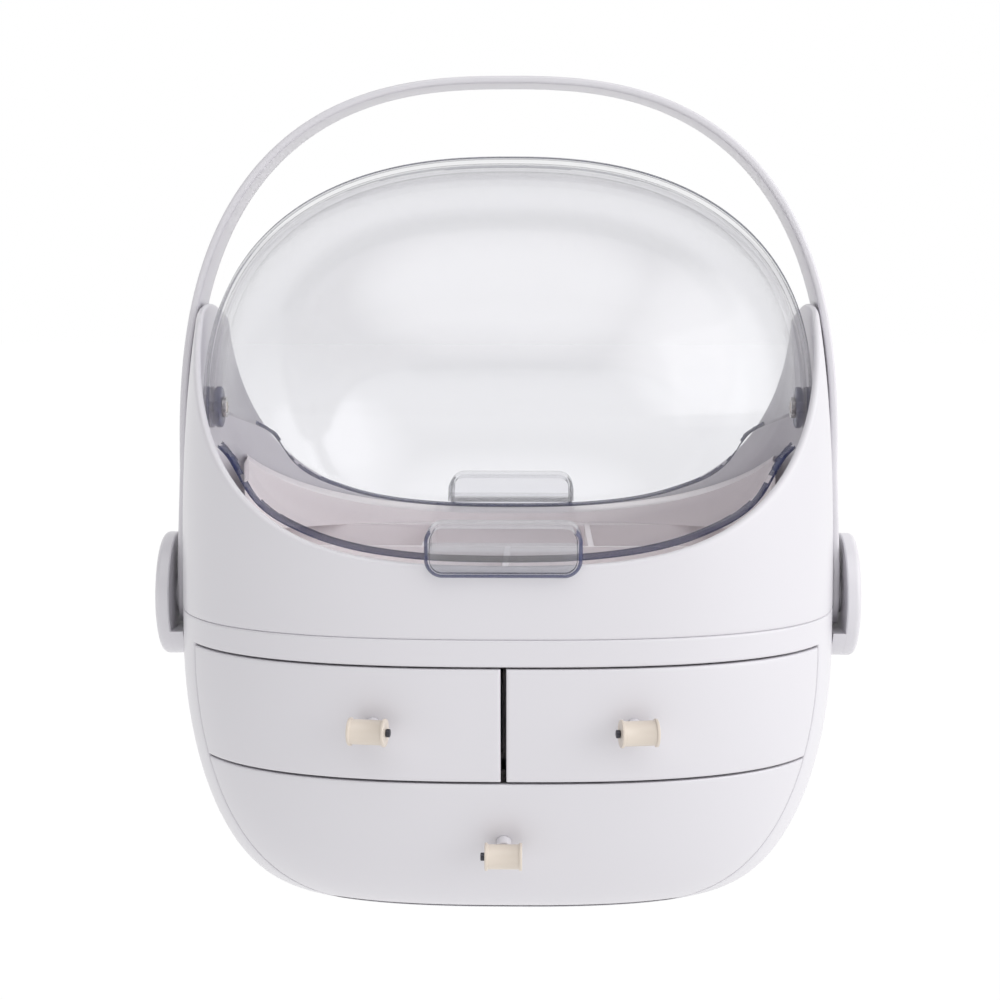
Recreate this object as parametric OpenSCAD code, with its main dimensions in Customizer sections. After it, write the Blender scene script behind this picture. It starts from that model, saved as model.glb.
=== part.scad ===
// Dustproof makeup organizer: an egg-shaped white case with two clear flip-up covers,
// a carrying handle on side discs, two small upper drawers and one wide lower drawer.
// All sizes in mm. The case stands on z = 0, its front faces -Y, its width runs along X.

/* [Case] */
// Half width of the case at its widest
case_half_width = 138.5; // [130:0.5:150]
// Half depth of the case at its deepest
case_half_depth = 111; // [104:0.5:120]
// Half width of the flat base
base_half_width = 91.5; // [88:0.5:96]
// Half depth of the flat base
base_half_depth = 60; // [57:0.5:64]
// Height at which the case is widest
belly_height = 105; // [95:1:115]
// Squareness of the plan outline (2 is an ellipse)
plan_squareness = 2.6; // [2.4:0.05:2.8]
// Thickness of the case walls
wall = 3; // [2.5:0.1:3.4]
// Thickness of the housing floor
floor_thickness = 2.6; // [2:0.1:3]
// Extra thickness of the wall where it meets the floor
floor_corner = 3; // [2:0.5:4]
// Height of the seam between the housing and the upper shell
seam_height = 119.2; // [117:0.2:122]
// Depth of the V groove along that seam
seam_groove = 0.6; // [0.3:0.1:0.9]
// How much narrower the case is at the height of the ears
ear_taper = 10; // [8:0.5:12]
// Height of the front and back rims at the middle
rim_height = 147.5; // [146.5:0.5:149]
// Steepness of the rim from the front up to the ears
rim_rise = 145; // [138:1:148]
// Curve of the rim (1 is a straight slope)
rim_curve = 1.2; // [1.15:0.05:1.3]
// Height of the ears' tops
ear_top = 246; // [238:1:250]
// Half length of the rounded top of an ear
ear_reach = 35; // [30:1:38]

/* [Drawers] */
// Plane at which the case side walls end and the drawer fronts begin
front_plane = 60; // [58:0.5:62]
// Top of the opening for the upper drawers
drawer_opening_top = 108.6; // [107:0.2:110]
// Height of the joint between the upper drawers and the lower one
drawer_joint_height = 62.4; // [60:0.2:65]
// Gap round each drawer front
front_gap = 0.8; // [0.5:0.1:1.2]
// Gap between the two upper drawer fronts
middle_gap = 2.2; // [1.6:0.1:3]
// Thickness of the drawer fronts
front_thickness = 3; // [2.4:0.1:3.6]
// Thickness of the drawer tray walls
tray_wall = 2; // [1.6:0.1:2.6]
// Thickness of the drawer tray floors
tray_floor = 2; // [1.6:0.1:2.6]
// Gap between a sliding tray and what it slides on
slide_gap = 0.3; // [0.2:0.05:0.5]
// Outer half width of the lower drawer tray
lower_tray_half_width = 74; // [66:0.5:75]
// Length of the lower drawer tray behind the front plane
lower_tray_length = 112; // [100:1:115]
// Height of the lower drawer tray
lower_tray_height = 48; // [40:0.5:49]
// Outer edge of an upper drawer tray, from the middle
upper_tray_reach = 112; // [100:0.5:113]
// Length of an upper drawer tray behind the front plane
upper_tray_length = 127; // [110:1:130]
// Height of the upper drawer trays
upper_tray_height = 38; // [32:0.5:40]
// Corner radius of the trays
tray_corner = 12; // [8:0.5:16]
// Height of the runners under the lower drawer
runner_height = 5; // [4:0.2:5.6]
// Width of a runner
runner_width = 4; // [3:0.5:6]
// Distance of the runners from the middle
runner_spacing = 55; // [45:1:65]
// How far the upper drawers pull out
upper_drawer_travel = 105; // [90:1:110]
// Thickness of the shelf between the drawers
shelf_thickness = 2.5; // [2:0.1:3]
// Length of the divider between the upper drawers
divider_length = 160; // [135:1:163]
// Thickness of the divider between the upper drawers
divider_thickness = 2.5; // [2:0.1:3]
// Thickness of the deck over the upper drawers
deck_thickness = 2.5; // [2:0.1:3]
// Gap between the inner plates and the case walls
plate_gap = 0.2; // [0.1:0.05:0.4]
// Diameter of the bosses behind the drawer fronts
boss_diameter = 8; // [7:0.5:9]
// Spacing of the two bosses of the lower drawer front
lower_boss_spacing = 110; // [80:1:120]
// Spacing of the two bosses of an upper drawer front
upper_boss_spacing = 64; // [50:1:68]

/* [Knobs] */
// Length of a knob
knob_length = 14.5; // [13:0.5:16]
// Diameter of a knob
knob_diameter = 9.6; // [9:0.2:11]
// Diameter of the lips at a knob's ends
knob_lip_diameter = 10.8; // [10:0.2:12.4]
// Width of a lip
knob_lip_width = 1.3; // [1:0.1:1.6]
// Gap between a knob and its drawer front
knob_standoff = 4; // [3:0.25:5]
// Height of the upper knobs
upper_knob_height = 85.5; // [80:0.5:90]
// Distance of the upper knobs from the middle
upper_knob_offset = 50; // [45:0.5:56]
// Height of the lower knob
lower_knob_height = 37.5; // [34:0.5:42]
// Diameter of the metal pin through a knob
knob_pin_diameter = 2.2; // [2:0.1:2.6]
// Diameter of the head of that pin
knob_pin_head = 3.2; // [3:0.1:4]
// Length of the head of that pin
knob_pin_head_length = 1.6; // [1:0.1:2]

/* [Covers] */
// Height of the axis that both covers turn on
cover_axis_height = 201.5; // [199:0.5:204]
// Outer radius of the front cover
cover_radius = 106; // [104:0.5:107]
// Half width of the front cover
cover_half_width = 129.5; // [127:0.5:130.5]
// Squareness of the covers' outline
cover_squareness = 2.4; // [2.2:0.05:2.6]
// Thickness of the covers
cover_thickness = 2.2; // [1.8:0.1:2.6]
// Gap between the front cover and the rear cover inside it
cover_gap = 1.2; // [1:0.1:1.6]
// Angle from the top down to the lower edge of a cover
cover_sweep = 121.2; // [120.4:0.2:121.6]
// Angle by which the covers overlap at the top
cover_overlap = 6; // [3:0.5:8]
// Height of the bead along a cover's edges
bead_height = 1.4; // [1:0.1:2]
// Angle that the bead takes up
bead_angle = 2; // [1.4:0.1:2.6]
// How far the covers open
cover_opening_angle = 100; // [90:1:103]
// Width of the pull tab
tab_width = 60; // [50:1:68]
// Height of the pull tab
tab_height = 20.5; // [17:0.5:23]
// How far the pull tab stands in front of the case
tab_reach = 3.4; // [3:0.2:5]
// How far the pull tab hangs down in front of the rim
tab_hang = 4.2; // [3:0.2:5]
// Height of the pull tab's underside above the rim
tab_rise = 3.4; // [3:0.1:4.5]
// Gap between the pull tab and the case
tab_gap = 0.7; // [0.5:0.1:1]
// Thickness of the pull tab's walls
tab_wall = 2; // [1.6:0.1:2.4]
// Corner radius of the pull tab
tab_corner = 7; // [5:0.5:8]
// Diameter of the hinge eyes
eye_diameter = 18; // [16:0.5:20]
// Diameter of the cover pins
cover_pin_diameter = 5; // [4.5:0.1:6]
// Diameter of the caps of the cover pins
cover_pin_cap_diameter = 10; // [9:0.2:11]
// Diameter of the spacers on the cover pins
cover_spacer_diameter = 11; // [9:0.5:12]
// Diameter of the clips on the cover pins
cover_clip_diameter = 9; // [8:0.5:11]
// Thickness of those clips
cover_clip_thickness = 1.6; // [1.2:0.1:2]
// Height of the caps of the cover pins
cover_pin_cap_height = 1.5; // [1.2:0.1:1.7]
// Thickness of the ledge that the covers close on
seat_thickness = 2; // [1.8:0.1:2.2]
// Gap between a cover's lower edge and that ledge
seat_clearance = 0.7; // [0.5:0.1:1]
// Distance of that ledge's ends from the cover's widest point
seat_margin = 11.5; // [9:0.5:16]

/* [Inner tray] */
// How far the inner tray's top face lies below the front rim
tray_drop = 5.5; // [5.2:0.1:8]
// Gap between the inner tray and the walls
tray_gap = 0.6; // [0.4:0.1:1]
// Thickness of the inner tray's ribs
tray_rib = 2.4; // [2:0.2:3]
// Thickness of the inner tray's floor
tray_base = 2.4; // [2:0.2:3]
// Half width of the pocketed area
pocket_half_width = 108; // [100:1:112]
// Half depth of the pocketed area
pocket_half_depth = 72; // [64:1:76]

/* [Handle] */
// Height of the axis that the handle turns on
handle_axis_height = 120.5; // [119:0.5:122]
// Width of the handle strap
strap_width = 26; // [22:0.5:30]
// Thickness of the handle strap
strap_thickness = 3.2; // [3:0.1:4]
// Gap between the case and the handle's arms
strap_gap = 0.6; // [0.6:0.1:1]
// Height of the top of the handle
handle_top = 341; // [335:1:347]
// Height at which the arch starts
arch_start = 175; // [168:1:180]
// Squareness of the arch
arch_squareness = 2.6; // [2.4:0.05:2.8]
// How far the handle swings to either side
handle_swing = 88; // [80:1:89]
// Diameter of the side discs
disc_diameter = 53; // [50:0.5:56]
// Thickness of the side discs
disc_thickness = 6; // [5.5:0.25:7]
// Gap between a disc and the handle's arm
disc_gap = 1.4; // [1.2:0.1:2]
// Diameter of the stud that the handle turns on
stud_diameter = 9.9; // [9:0.1:11]
// Diameter of the shoulder between a disc and the arm
shoulder_diameter = 16; // [14:0.5:18]

/* [Fasteners] */
// Diameter of the screws
screw_diameter = 3; // [2.8:0.1:3.2]
// Diameter of the screw heads
screw_head_diameter = 6; // [5.4:0.1:6.4]
// Height of the screw heads
screw_head_height = 1.8; // [1.4:0.1:2.2]
// Clearance round a screw
screw_clearance = 0.1; // [0.05:0.05:0.2]
// Room left inside the case round the heads of the handle screws
handle_screw_room = 8; // [7:0.5:8.8]
// Length of the deck screws
deck_screw_length = 9.5; // [8:0.5:11]
// Radial clearance of a part that turns on a pin
pivot_clearance = 0.05; // [0.03:0.01:0.1]

/* [Hidden] */
$fn = 96;
around = 64;
pad = 1;

white = "#f2f1f2"; clear = "#e6ebf5"; beige = "#e3cfc0"; metal = "#b9b6b4"; grey = "#d8d6da";

// --- the case's outer form ---
function bulge(z) = sqrt(max(0, 1 - pow(1 - min(z, belly_height) / belly_height, 2)));
function taper(z) = z <= belly_height ? 0 : ear_taper * pow((z - belly_height) / 150, 3);
function half_width(z) =
  base_half_width + (case_half_width - base_half_width) * bulge(z) - taper(z);
function half_depth(z) =
  base_half_depth + (case_half_depth - base_half_depth) * bulge(z) - taper(z) * 0.8;
// depth of the case at x and z, measured from the middle plane, for a skin inset by i
function depth_at(x, z, i = 0) = let(a = half_width(z) - i, b = half_depth(z) - i,
  u = min(1, abs(x) / a)) b * pow(max(0, 1 - pow(u, plan_squareness)), 1 / plan_squareness);
function width_at(y, z, i = 0) = let(a = half_width(z) - i, b = half_depth(z) - i,
  u = min(1, abs(y) / b)) a * pow(max(0, 1 - pow(u, plan_squareness)), 1 / plan_squareness);
function signed(v, p) = sign(v) * pow(abs(v), p);
function oval(a, b, n, s) = [for (i = [0 : n - 1]) let(t = 360 * i / n)
  [a * signed(cos(t), 2 / s), b * signed(sin(t), 2 / s)]];
function ring(z, i) = [for (p = oval(half_width(z) - i, half_depth(z) - i, around,
  plan_squareness)) [p[0], p[1], z]];

// closed skin through rings of equal length; capped at both ends or joined end to end
module skin(rings, capped) {
  n = len(rings[0]);
  m = len(rings);
  last = capped ? m - 2 : m - 1;
  sides = [for (r = [0 : last]) for (i = [0 : n - 1]) let(j = (i + 1) % n, q = (r + 1) % m)
    each [[r * n + i, q * n + i, r * n + j], [q * n + i, q * n + j, r * n + j]]];
  caps = capped ? [[for (i = [0 : n - 1]) i], [for (i = [n - 1 : -1 : 0]) (m - 1) * n + i]] : [];
  polyhedron(points = [for (r = rings) each r], faces = concat(sides, caps), convexity = 8);
}

// closed slab between two grids of the same size, rows of points
module slab(a, b) {
  m = len(a);
  n = len(a[0]);
  o = m * n;
  front = [for (r = [0 : m - 2]) for (i = [0 : n - 2]) let(k = r * n + i)
    each [[k, k + n, k + 1], [k + 1, k + n, k + n + 1]]];
  back = [for (f = front) [f[2] + o, f[1] + o, f[0] + o]];
  edge = concat([for (i = [0 : n - 1]) i], [for (r = [1 : m - 1]) r * n + n - 1],
    [for (i = [n - 2 : -1 : 0]) (m - 1) * n + i], [for (r = [m - 2 : -1 : 1]) r * n]);
  e = len(edge);
  rim = [for (i = [0 : e - 1]) let(p = edge[i], q = edge[(i + 1) % e])
    each [[p, q, p + o], [q, q + o, p + o]]];
  polyhedron(points = concat([for (r = a) each r], [for (r = b) each r]),
    faces = concat(front, back, rim), convexity = 6);
}

// --- small shapes ---
module along_x(x, y, z) translate([x, y, z]) rotate([0, 90, 0]) children();
module along_y(x, y, z) translate([x, y, z]) rotate([90, 0, 0]) children();
module both_sides() { children(); mirror([1, 0, 0]) children(); }
module rounded(w, l, r) { // a rectangle with rounded corners, centred
  square([w - 2 * r, l], center = true);
  square([w, l - 2 * r], center = true);
  for (x = [-1, 1], y = [-1, 1]) translate([x * (w / 2 - r), y * (l / 2 - r)]) circle(r);
}
// a screw along +z with its head's underside at the origin and its head below
module screw(length) {
  translate([0, 0, -0.5]) cylinder(d = screw_diameter, h = length + 0.5);
  translate([0, 0, -screw_head_height]) difference() {
    cylinder(d = screw_head_diameter, h = screw_head_height);
    translate([-2, -0.4, -pad]) cube([4, 0.8, pad + 0.7]);
    translate([-0.4, -2, -pad]) cube([0.8, 4, pad + 0.7]);
  }
}

// --- derived sizes ---
tray_top = rim_height - tray_drop;
seat_half_width = cover_half_width - seat_margin;
shelf_top = drawer_joint_height + shelf_thickness / 2;
shelf_bottom = shelf_top - shelf_thickness;
deck_bottom = drawer_opening_top + 0.4;
deck_top = deck_bottom + deck_thickness;
tray_sill = floor_thickness + runner_height + slide_gap;
upper_tray_sill = shelf_top + slide_gap;
screw_bore = screw_diameter + 2 * screw_clearance;
boss_top = deck_bottom;
tray_front = front_plane - 1.5;      // front face of the trays
deck_boss_x = 121;
deck_boss_y = 46;

// rib of height h from x out into the right wall
module rib(x, y, z, h) translate([x, y - 1.5, z])
  cube([width_at(abs(y) + 1.5, z, wall) + wall - 0.8 - x, 3, h]);

module lower_housing() color(white) difference() {
  union() {
    difference() {
      skin(concat(
        [for (z = [0, 2.5, 6, 11, 18, 28, 42, 60, 82, 104, seam_height - seam_groove]) ring(z, 0)],
        [ring(seam_height, seam_groove), ring(seam_height, wall)],
        [for (z = [104, 82, 60, 42, 28, 18, 11, 6, floor_thickness])
          ring(z, wall + floor_corner * pow(max(0, 1 - z / 20), 2))]), true);
      translate([-200, -200 - front_plane, floor_thickness])
        cube([400, 200, drawer_opening_top - floor_thickness]);
    }
    for (s = [-1, 1]) {
      // runners under the lower drawer
      translate([s * runner_spacing - runner_width / 2, -front_plane, floor_thickness - 0.1])
        cube([runner_width, lower_tray_length, runner_height + 0.1]);
      // brackets that carry the deck
      for (y = [-1, 1]) translate([0, y * deck_boss_y, boss_top - 9]) {
        translate([s * deck_boss_x, 0, 0]) cylinder(d = 8, h = 9);
      }
    }
    // webs of those brackets, and ribs that carry the shelf
    both_sides() {
      for (y = [-deck_boss_y, deck_boss_y]) rib(deck_boss_x, y, boss_top - 9, 9);
      for (y = [-50, 0, 50]) rib(width_at(y, shelf_bottom, wall) - 9, y, shelf_bottom - 8, 8);
    }
  }
  for (s = [-1, 1], y = [-1, 1])
    translate([s * deck_boss_x, y * deck_boss_y, boss_top - 8]) cylinder(d = screw_bore, h = 9);
  both_sides() along_x(case_half_width - wall - pad, 0, handle_axis_height)
    cylinder(d = screw_bore + 0.2, h = wall + 2 * pad);
}

// height of the rim above a point y of the side view
function rim_at(y) = abs(y) >= ear_reach
  ? rim_height + rim_rise * pow(max(0, 1 - abs(y) / case_half_depth), rim_curve)
  : ear_top - (ear_top - rim_at(ear_reach)) * pow(y / ear_reach, 2);

function shell_level(k) = seam_height + (ear_top + 2 - seam_height) * k / 9;
module upper_shell() color(white) difference() {
  skin(concat([ring(seam_height, wall), ring(seam_height, seam_groove)],
    [ring(seam_height + seam_groove, 0)], [for (k = [1 : 9]) ring(shell_level(k), 0)],
    [for (k = [9 : -1 : 1]) ring(shell_level(k), wall)]), false);
  translate([-200, 0, 0]) rotate([90, 0, 90]) linear_extrude(400) polygon(concat(
    [[case_half_depth + 20, rim_height]],
    [for (i = [0 : 40]) let(y = case_half_depth * (1 - i / 20)) [y, rim_at(y)]],
    [[-case_half_depth - 20, rim_height], [-case_half_depth - 20, 300],
      [case_half_depth + 20, 300]]));
  both_sides() along_x(100, 0, cover_axis_height)
    cylinder(d = cover_pin_diameter + 2 * screw_clearance, h = 60);
  both_sides() along_x(case_half_width - wall - pad, 0, handle_axis_height)
    cylinder(d = screw_bore + 0.2, h = wall + 2 * pad);
}

// flat plate across the case at height z, cut off at the front plane if asked
module plate(z, t, cut) translate([0, 0, z]) linear_extrude(t) difference() {
  polygon(oval(half_width(z) - wall - plate_gap, half_depth(z) - wall - plate_gap, around,
    plan_squareness));
  if (cut) translate([-200, -200 - front_plane + 0.6]) square([400, 200]);
}

module drawer_shelf() color(white) plate(shelf_bottom, shelf_thickness, true);

module drawer_divider() color(white)
  translate([-divider_thickness / 2, -front_plane + 0.6, shelf_top])
    cube([divider_thickness, divider_length, deck_bottom - shelf_top]);

module top_deck() color(white) difference() {
  plate(deck_bottom, deck_thickness, false);
  screw_room();
  for (s = [-1, 1], y = [-1, 1])
    translate([s * deck_boss_x, y * deck_boss_y, 0]) cylinder(d = screw_bore + 0.2, h = 200);
}

module deck_screws() color(metal) for (s = [-1, 1], y = [-1, 1])
  translate([s * deck_boss_x, y * deck_boss_y, deck_top]) mirror([0, 0, 1]) screw(deck_screw_length);

// room inside the case for the heads of the handle screws
module screw_room() both_sides() translate([case_half_width - wall - handle_screw_room,
  -handle_screw_room, handle_axis_height - handle_screw_room])
  cube([20, 2 * handle_screw_room, 2 * handle_screw_room]);

module inner_tray() color(white) {
  bottom = deck_top;
  a = half_width(deck_top) - wall - tray_gap;
  b = half_depth(tray_top) - wall - tray_gap;
  w = 2 * pocket_half_width;
  l = 2 * pocket_half_depth;
  difference() {
    translate([0, 0, bottom]) linear_extrude(tray_top - bottom)
      polygon(oval(a, b, around, plan_squareness));
    translate([0, 0, bottom + tray_base]) linear_extrude(60) difference() {
      rounded(w, l, 16);
      // ribs between the pockets
      translate([-w / 2, -8 - tray_rib / 2]) square([w, tray_rib]);
      for (x = [-w / 6, w / 6]) translate([x - tray_rib / 2, -8]) square([tray_rib, l]);
      translate([-tray_rib / 2, -l]) square([tray_rib, l - 8]);
    }
    // room for the deck screws and the handle screws
    for (s = [-1, 1], y = [-1, 1])
      translate([s * deck_boss_x, y * deck_boss_y, 0]) cylinder(d = 8, h = bottom + 3);
    screw_room();
  }
}

// --- covers ---
rear_radius = cover_radius - cover_thickness - cover_gap;
rear_half_width = cover_half_width - cover_thickness - cover_gap;
// radius of a cover at x; big is the radius at the middle, wide the half width
function dome(x, big, wide) = big * pow(max(0, 1 - pow(min(1, abs(x) / wide),
  cover_squareness)), 1 / cover_squareness);
function dome_line(big, wide, low) = let(t0 = asin(pow(low / big, cover_squareness / 2)))
  [for (i = [0 : 36]) let(t = t0 + (180 - 2 * t0) * i / 36)
    [big * pow(sin(t), 2 / cover_squareness), wide * signed(cos(t), 2 / cover_squareness)]];
function backwards(list) = [for (i = [len(list) - 1 : -1 : 0]) list[i]];

// turned about the covers' axis, from angle a on by sweep (0 is up, positive to the front)
module turned(a, sweep) translate([0, 0, cover_axis_height]) rotate([180, -90, 0])
  rotate([0, 0, a]) rotate_extrude(angle = sweep) children();

// a cover's skin, with a bead that stands out by e along both edges
module cover_half(big, wide, from, to, e) {
  turned(from, to - from) polygon(concat(dome_line(big, wide, 6),
    backwards(dome_line(big - cover_thickness, wide - cover_thickness, 6))));
  for (a = [from - 0.3, to - bead_angle + 0.3]) turned(a, bead_angle) polygon(concat(
    dome_line(big + e, wide + e / 2, 24),
    backwards(dome_line(big - cover_thickness / 2, wide - cover_thickness / 2, 24))));
  both_sides() along_x(wide - cover_thickness - 0.5, 0, cover_axis_height)
    cylinder(d = eye_diameter, h = cover_thickness + 0.7);
}

// block of the pull tab, set in by i on all sides, up to the y plane back
tab_front = case_half_depth + tab_reach;
tab_low = rim_height - tab_hang;
module tab_block(i, back) translate([0, -tab_front + i, tab_low + tab_height / 2])
  rotate([-90, 0, 0]) linear_extrude(tab_front - i - back)
    rounded(tab_width - 2 * i, tab_height - 2 * i, tab_corner - i);
// room under the tab for the rim
module tab_notch(i, back) translate([-tab_width, -case_half_depth - tab_gap - i, tab_low - pad])
  cube([2 * tab_width, case_half_depth + tab_gap + i - back, tab_hang + tab_rise + pad + i]);
module cover(big, wide, bead) difference() {
  union() {
    cover_half(big, wide, -cover_overlap / 2, cover_sweep, bead);
    difference() {
      tab_block(0, 70);
      tab_notch(0, 60);
      turned(60, 100) polygon(concat([[0, wide]], dome_line(big - 0.8, wide - 0.8, 6),
        [[0, -wide]]));
    }
  }
  difference() {
    tab_block(tab_wall, 60);
    tab_notch(tab_wall, 50);
  }
  along_x(-200, 0, cover_axis_height)
    cylinder(d = cover_pin_diameter + 2 * pivot_clearance, h = 400);
}

module front_cover() color(clear, 0.35) cover(cover_radius, cover_half_width, bead_height);
module rear_cover() color(clear, 0.35)
  mirror([0, 1, 0]) cover(rear_radius, rear_half_width, 0.6);

// ledge under a cover's lower edge, with a skirt down to the inner tray
module seat(big, wide) {
  count = 28;
  xs = [for (i = [0 : count]) seat_half_width * signed(-cos(180 * i / count), 0.8)];
  function inner(x) = let(r = dome(x, big, wide) - cover_thickness - 2)
    [x, -r * sin(cover_sweep), max(tray_top + 0.2 + seat_thickness, cover_axis_height
      + (dome(x, big, wide) + bead_height) * cos(cover_sweep + 0.5) - seat_clearance)];
  function outer(x) = let(z = inner(x)[2] + 0.3, k = x * 1.035,
    y = -depth_at(k, z, wall + 0.6)) [k, y, z];
  top = [for (x = xs) let(p = inner(x), q = outer(x)) [q, p, [p[0], p[1], tray_top + 0.05]]];
  under = [for (x = xs) let(p = inner(x), q = outer(x), s = x / seat_half_width,
    o = [seat_thickness * s, -seat_thickness * sqrt(max(0, 1 - s * s)), 0])
    [[q[0], q[1], q[2] - seat_thickness], p + o - [0, 0, seat_thickness],
      [p[0] + o[0], p[1] + o[1], tray_top + 0.05]]];
  slab(top, under);
}
module front_cover_seat() color(white) seat(cover_radius, cover_half_width);
module rear_cover_seat() color(white) mirror([0, 1, 0]) seat(rear_radius, rear_half_width);

// --- cover pins ---
ear_outside = half_width(cover_axis_height);
// how far the leaning ear wall comes inwards over the height of a cap or spacer
ear_lean = 0.6;
pin_inside = rear_half_width - cover_thickness - 3.4;
module cover_pins() color(beige) both_sides() {
  along_x(pin_inside, 0, cover_axis_height)
    cylinder(d = cover_pin_diameter, h = ear_outside - pin_inside + ear_lean + 0.2);
  along_x(ear_outside + ear_lean, 0, cover_axis_height)
    cylinder(d1 = cover_pin_cap_diameter, d2 = cover_pin_cap_diameter - 1.2,
      h = cover_pin_cap_height);
}
module cover_pin_spacers() color(white) both_sides() difference() {
  along_x(cover_half_width + 0.35, 0, cover_axis_height)
    cylinder(d = cover_spacer_diameter, h = ear_outside - wall - ear_lean - cover_half_width - 0.65);
  along_x(100, 0, cover_axis_height) cylinder(d = cover_pin_diameter + 2 * pivot_clearance, h = 60);
}
module cover_pin_clips() color(metal) both_sides() difference() {
  along_x(rear_half_width - cover_thickness - 0.6 - cover_clip_thickness, 0, cover_axis_height)
    cylinder(d = cover_clip_diameter, h = cover_clip_thickness);
  along_x(100, 0, cover_axis_height) cylinder(d = cover_pin_diameter + 2 * pivot_clearance, h = 60);
}

// --- handle ---
arm_inside = case_half_width + strap_gap;
function arch(a, h, count) = [for (i = [0 : count]) let(t = 180 * i / count)
  [a * signed(cos(t), 2 / arch_squareness), arch_start + h * pow(sin(t), 2 / arch_squareness)]];
module handle() color(white) difference() {
  intersection() {
    translate([0, strap_width / 2, 0]) rotate([90, 0, 0]) linear_extrude(strap_width)
      polygon(concat([[arm_inside + strap_thickness, handle_axis_height - strap_width]],
        arch(arm_inside + strap_thickness, handle_top - arch_start, 56),
        [[-arm_inside - strap_thickness, handle_axis_height - strap_width],
          [-arm_inside, handle_axis_height - strap_width]],
        backwards(arch(arm_inside, handle_top - strap_thickness - arch_start, 56)),
        [[arm_inside, handle_axis_height - strap_width]]));
    // rounded lower ends
    translate([-200, 0, 0]) union() {
      along_x(0, 0, handle_axis_height) cylinder(d = strap_width, h = 400);
      translate([0, -strap_width / 2 - pad, handle_axis_height])
        cube([400, strap_width + 2 * pad, 300]);
    }
  }
  along_x(-200, 0, handle_axis_height) cylinder(d = stud_diameter + 2 * pivot_clearance, h = 400);
}

disc_inside = arm_inside + strap_thickness + disc_gap;
module handle_disc() difference() {
  union() {
    along_x(disc_inside, 0, handle_axis_height) rotate_extrude() polygon([[0, 0],
      [disc_diameter / 2, 0], [disc_diameter / 2, disc_thickness - 2],
      [disc_diameter / 2 - 0.5, disc_thickness - 1], [disc_diameter / 2 - 1.5, disc_thickness - 0.3],
      [disc_diameter / 2 - 3, disc_thickness], [0, disc_thickness]]);
    along_x(arm_inside + strap_thickness + 0.3, 0, handle_axis_height)
      cylinder(d = shoulder_diameter, h = disc_gap);
    along_x(case_half_width + 0.05, 0, handle_axis_height)
      cylinder(d = stud_diameter, h = disc_inside - case_half_width + 1);
    // skirt that the arm comes to rest on
    intersection() {
      along_x(case_half_width + 0.05, 0, handle_axis_height)
        cylinder(d = disc_diameter, h = disc_inside - case_half_width + 1);
      translate([100, -50, handle_axis_height - disc_diameter])
        cube([60, 100, disc_diameter - strap_width / 2 - 0.8]);
    }
  }
  along_x(case_half_width - pad, 0, handle_axis_height) cylinder(d = screw_bore, h = 9 + pad);
}
module right_handle_disc() color(white) handle_disc();
module left_handle_disc() color(white) mirror([1, 0, 0]) handle_disc();

washer_thickness = 1;
module handle_washers() color(metal) both_sides()
  along_x(case_half_width - wall - 0.3 - washer_thickness, 0, handle_axis_height) difference() {
    cylinder(d = 8, h = washer_thickness);
    translate([0, 0, -pad]) cylinder(d = screw_bore, h = 4);
  }
module handle_screws() color(metal) both_sides()
  along_x(case_half_width - wall - 0.3 - washer_thickness, 0, handle_axis_height) screw(11.5);

// --- drawer fronts ---
// curved front between the heights z0 and z1, from the side x0 to x1 (fractions -1..1 of the
// width, with the middle gap taken off where a side is 0)
module front_panel(z0, z1, left, right, rows, cols) {
  y = front_plane + 0.6;
  zs = [for (i = [0 : rows]) z0 + (z1 - z0) * i / rows];
  function at(u, z, i) = let(w = width_at(y, z, i), a = left < 0 ? -w : middle_gap / 2,
    b = right > 0 ? w : -middle_gap / 2, x = a + (b - a) * u) [x, -max(y, depth_at(x, z, i)), z];
  slab([for (z = zs) [for (k = [0 : cols]) at(k / cols, z, 0)]],
    [for (z = zs) [for (k = [0 : cols]) at(k / cols, z, front_thickness)]]);
}
// slope of the front at x and z, sideways and upwards, in degrees
function turn_at(x, z) = atan((depth_at(x - 0.5, z) - depth_at(x + 0.5, z)) / 1);
function lean_at(x, z) = atan(depth_at(x, z + 0.5) - depth_at(x, z - 0.5));

// frame at the surface of the front at x, z, with +z pointing out of the surface
module on_front(x, z) translate([x, -depth_at(x, z), z]) rotate([0, 0, turn_at(x, z)])
  rotate([90 + lean_at(x, z), 0, 0]) children();

module drawer_front(z0, z1, left, right, rows, cols, xs, knob_x, knob_z, zb) difference() {
  union() {
    front_panel(z0, z1, left, right, rows, cols);
    for (x = xs) along_y(x, -tray_front, zb)
      cylinder(d = boss_diameter, h = depth_at(x, zb) - tray_front - 1.8);
  }
  for (x = xs) along_y(x, -tray_front + pad, zb) cylinder(d = screw_bore, h = 12);
  on_front(knob_x, knob_z) translate([0, 0, -12]) cylinder(d = screw_bore, h = 20);
}

upper_mid = upper_tray_reach / 2 + 2;
upper_boss_z = 96;
upper_xs = [upper_mid - upper_boss_spacing / 2, upper_mid + upper_boss_spacing / 2];
lower_xs = [-lower_boss_spacing / 2, lower_boss_spacing / 2];
lower_boss_z = 40;

module upper_right_drawer_front() color(white)
  drawer_front(drawer_joint_height + front_gap / 2, drawer_opening_top - front_gap, 0, 1, 5, 14,
    upper_xs, upper_knob_offset, upper_knob_height, upper_boss_z);
module upper_left_drawer_front() color(white)
  drawer_front(drawer_joint_height + front_gap / 2, drawer_opening_top - front_gap, -1, 0, 5, 14,
    -upper_xs, -upper_knob_offset, upper_knob_height, upper_boss_z);
module lower_drawer_front() color(white)
  drawer_front(floor_thickness + 0.6, drawer_joint_height - front_gap / 2, -1, 1, 9, 28,
    lower_xs, 0, lower_knob_height, lower_boss_z);

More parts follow.
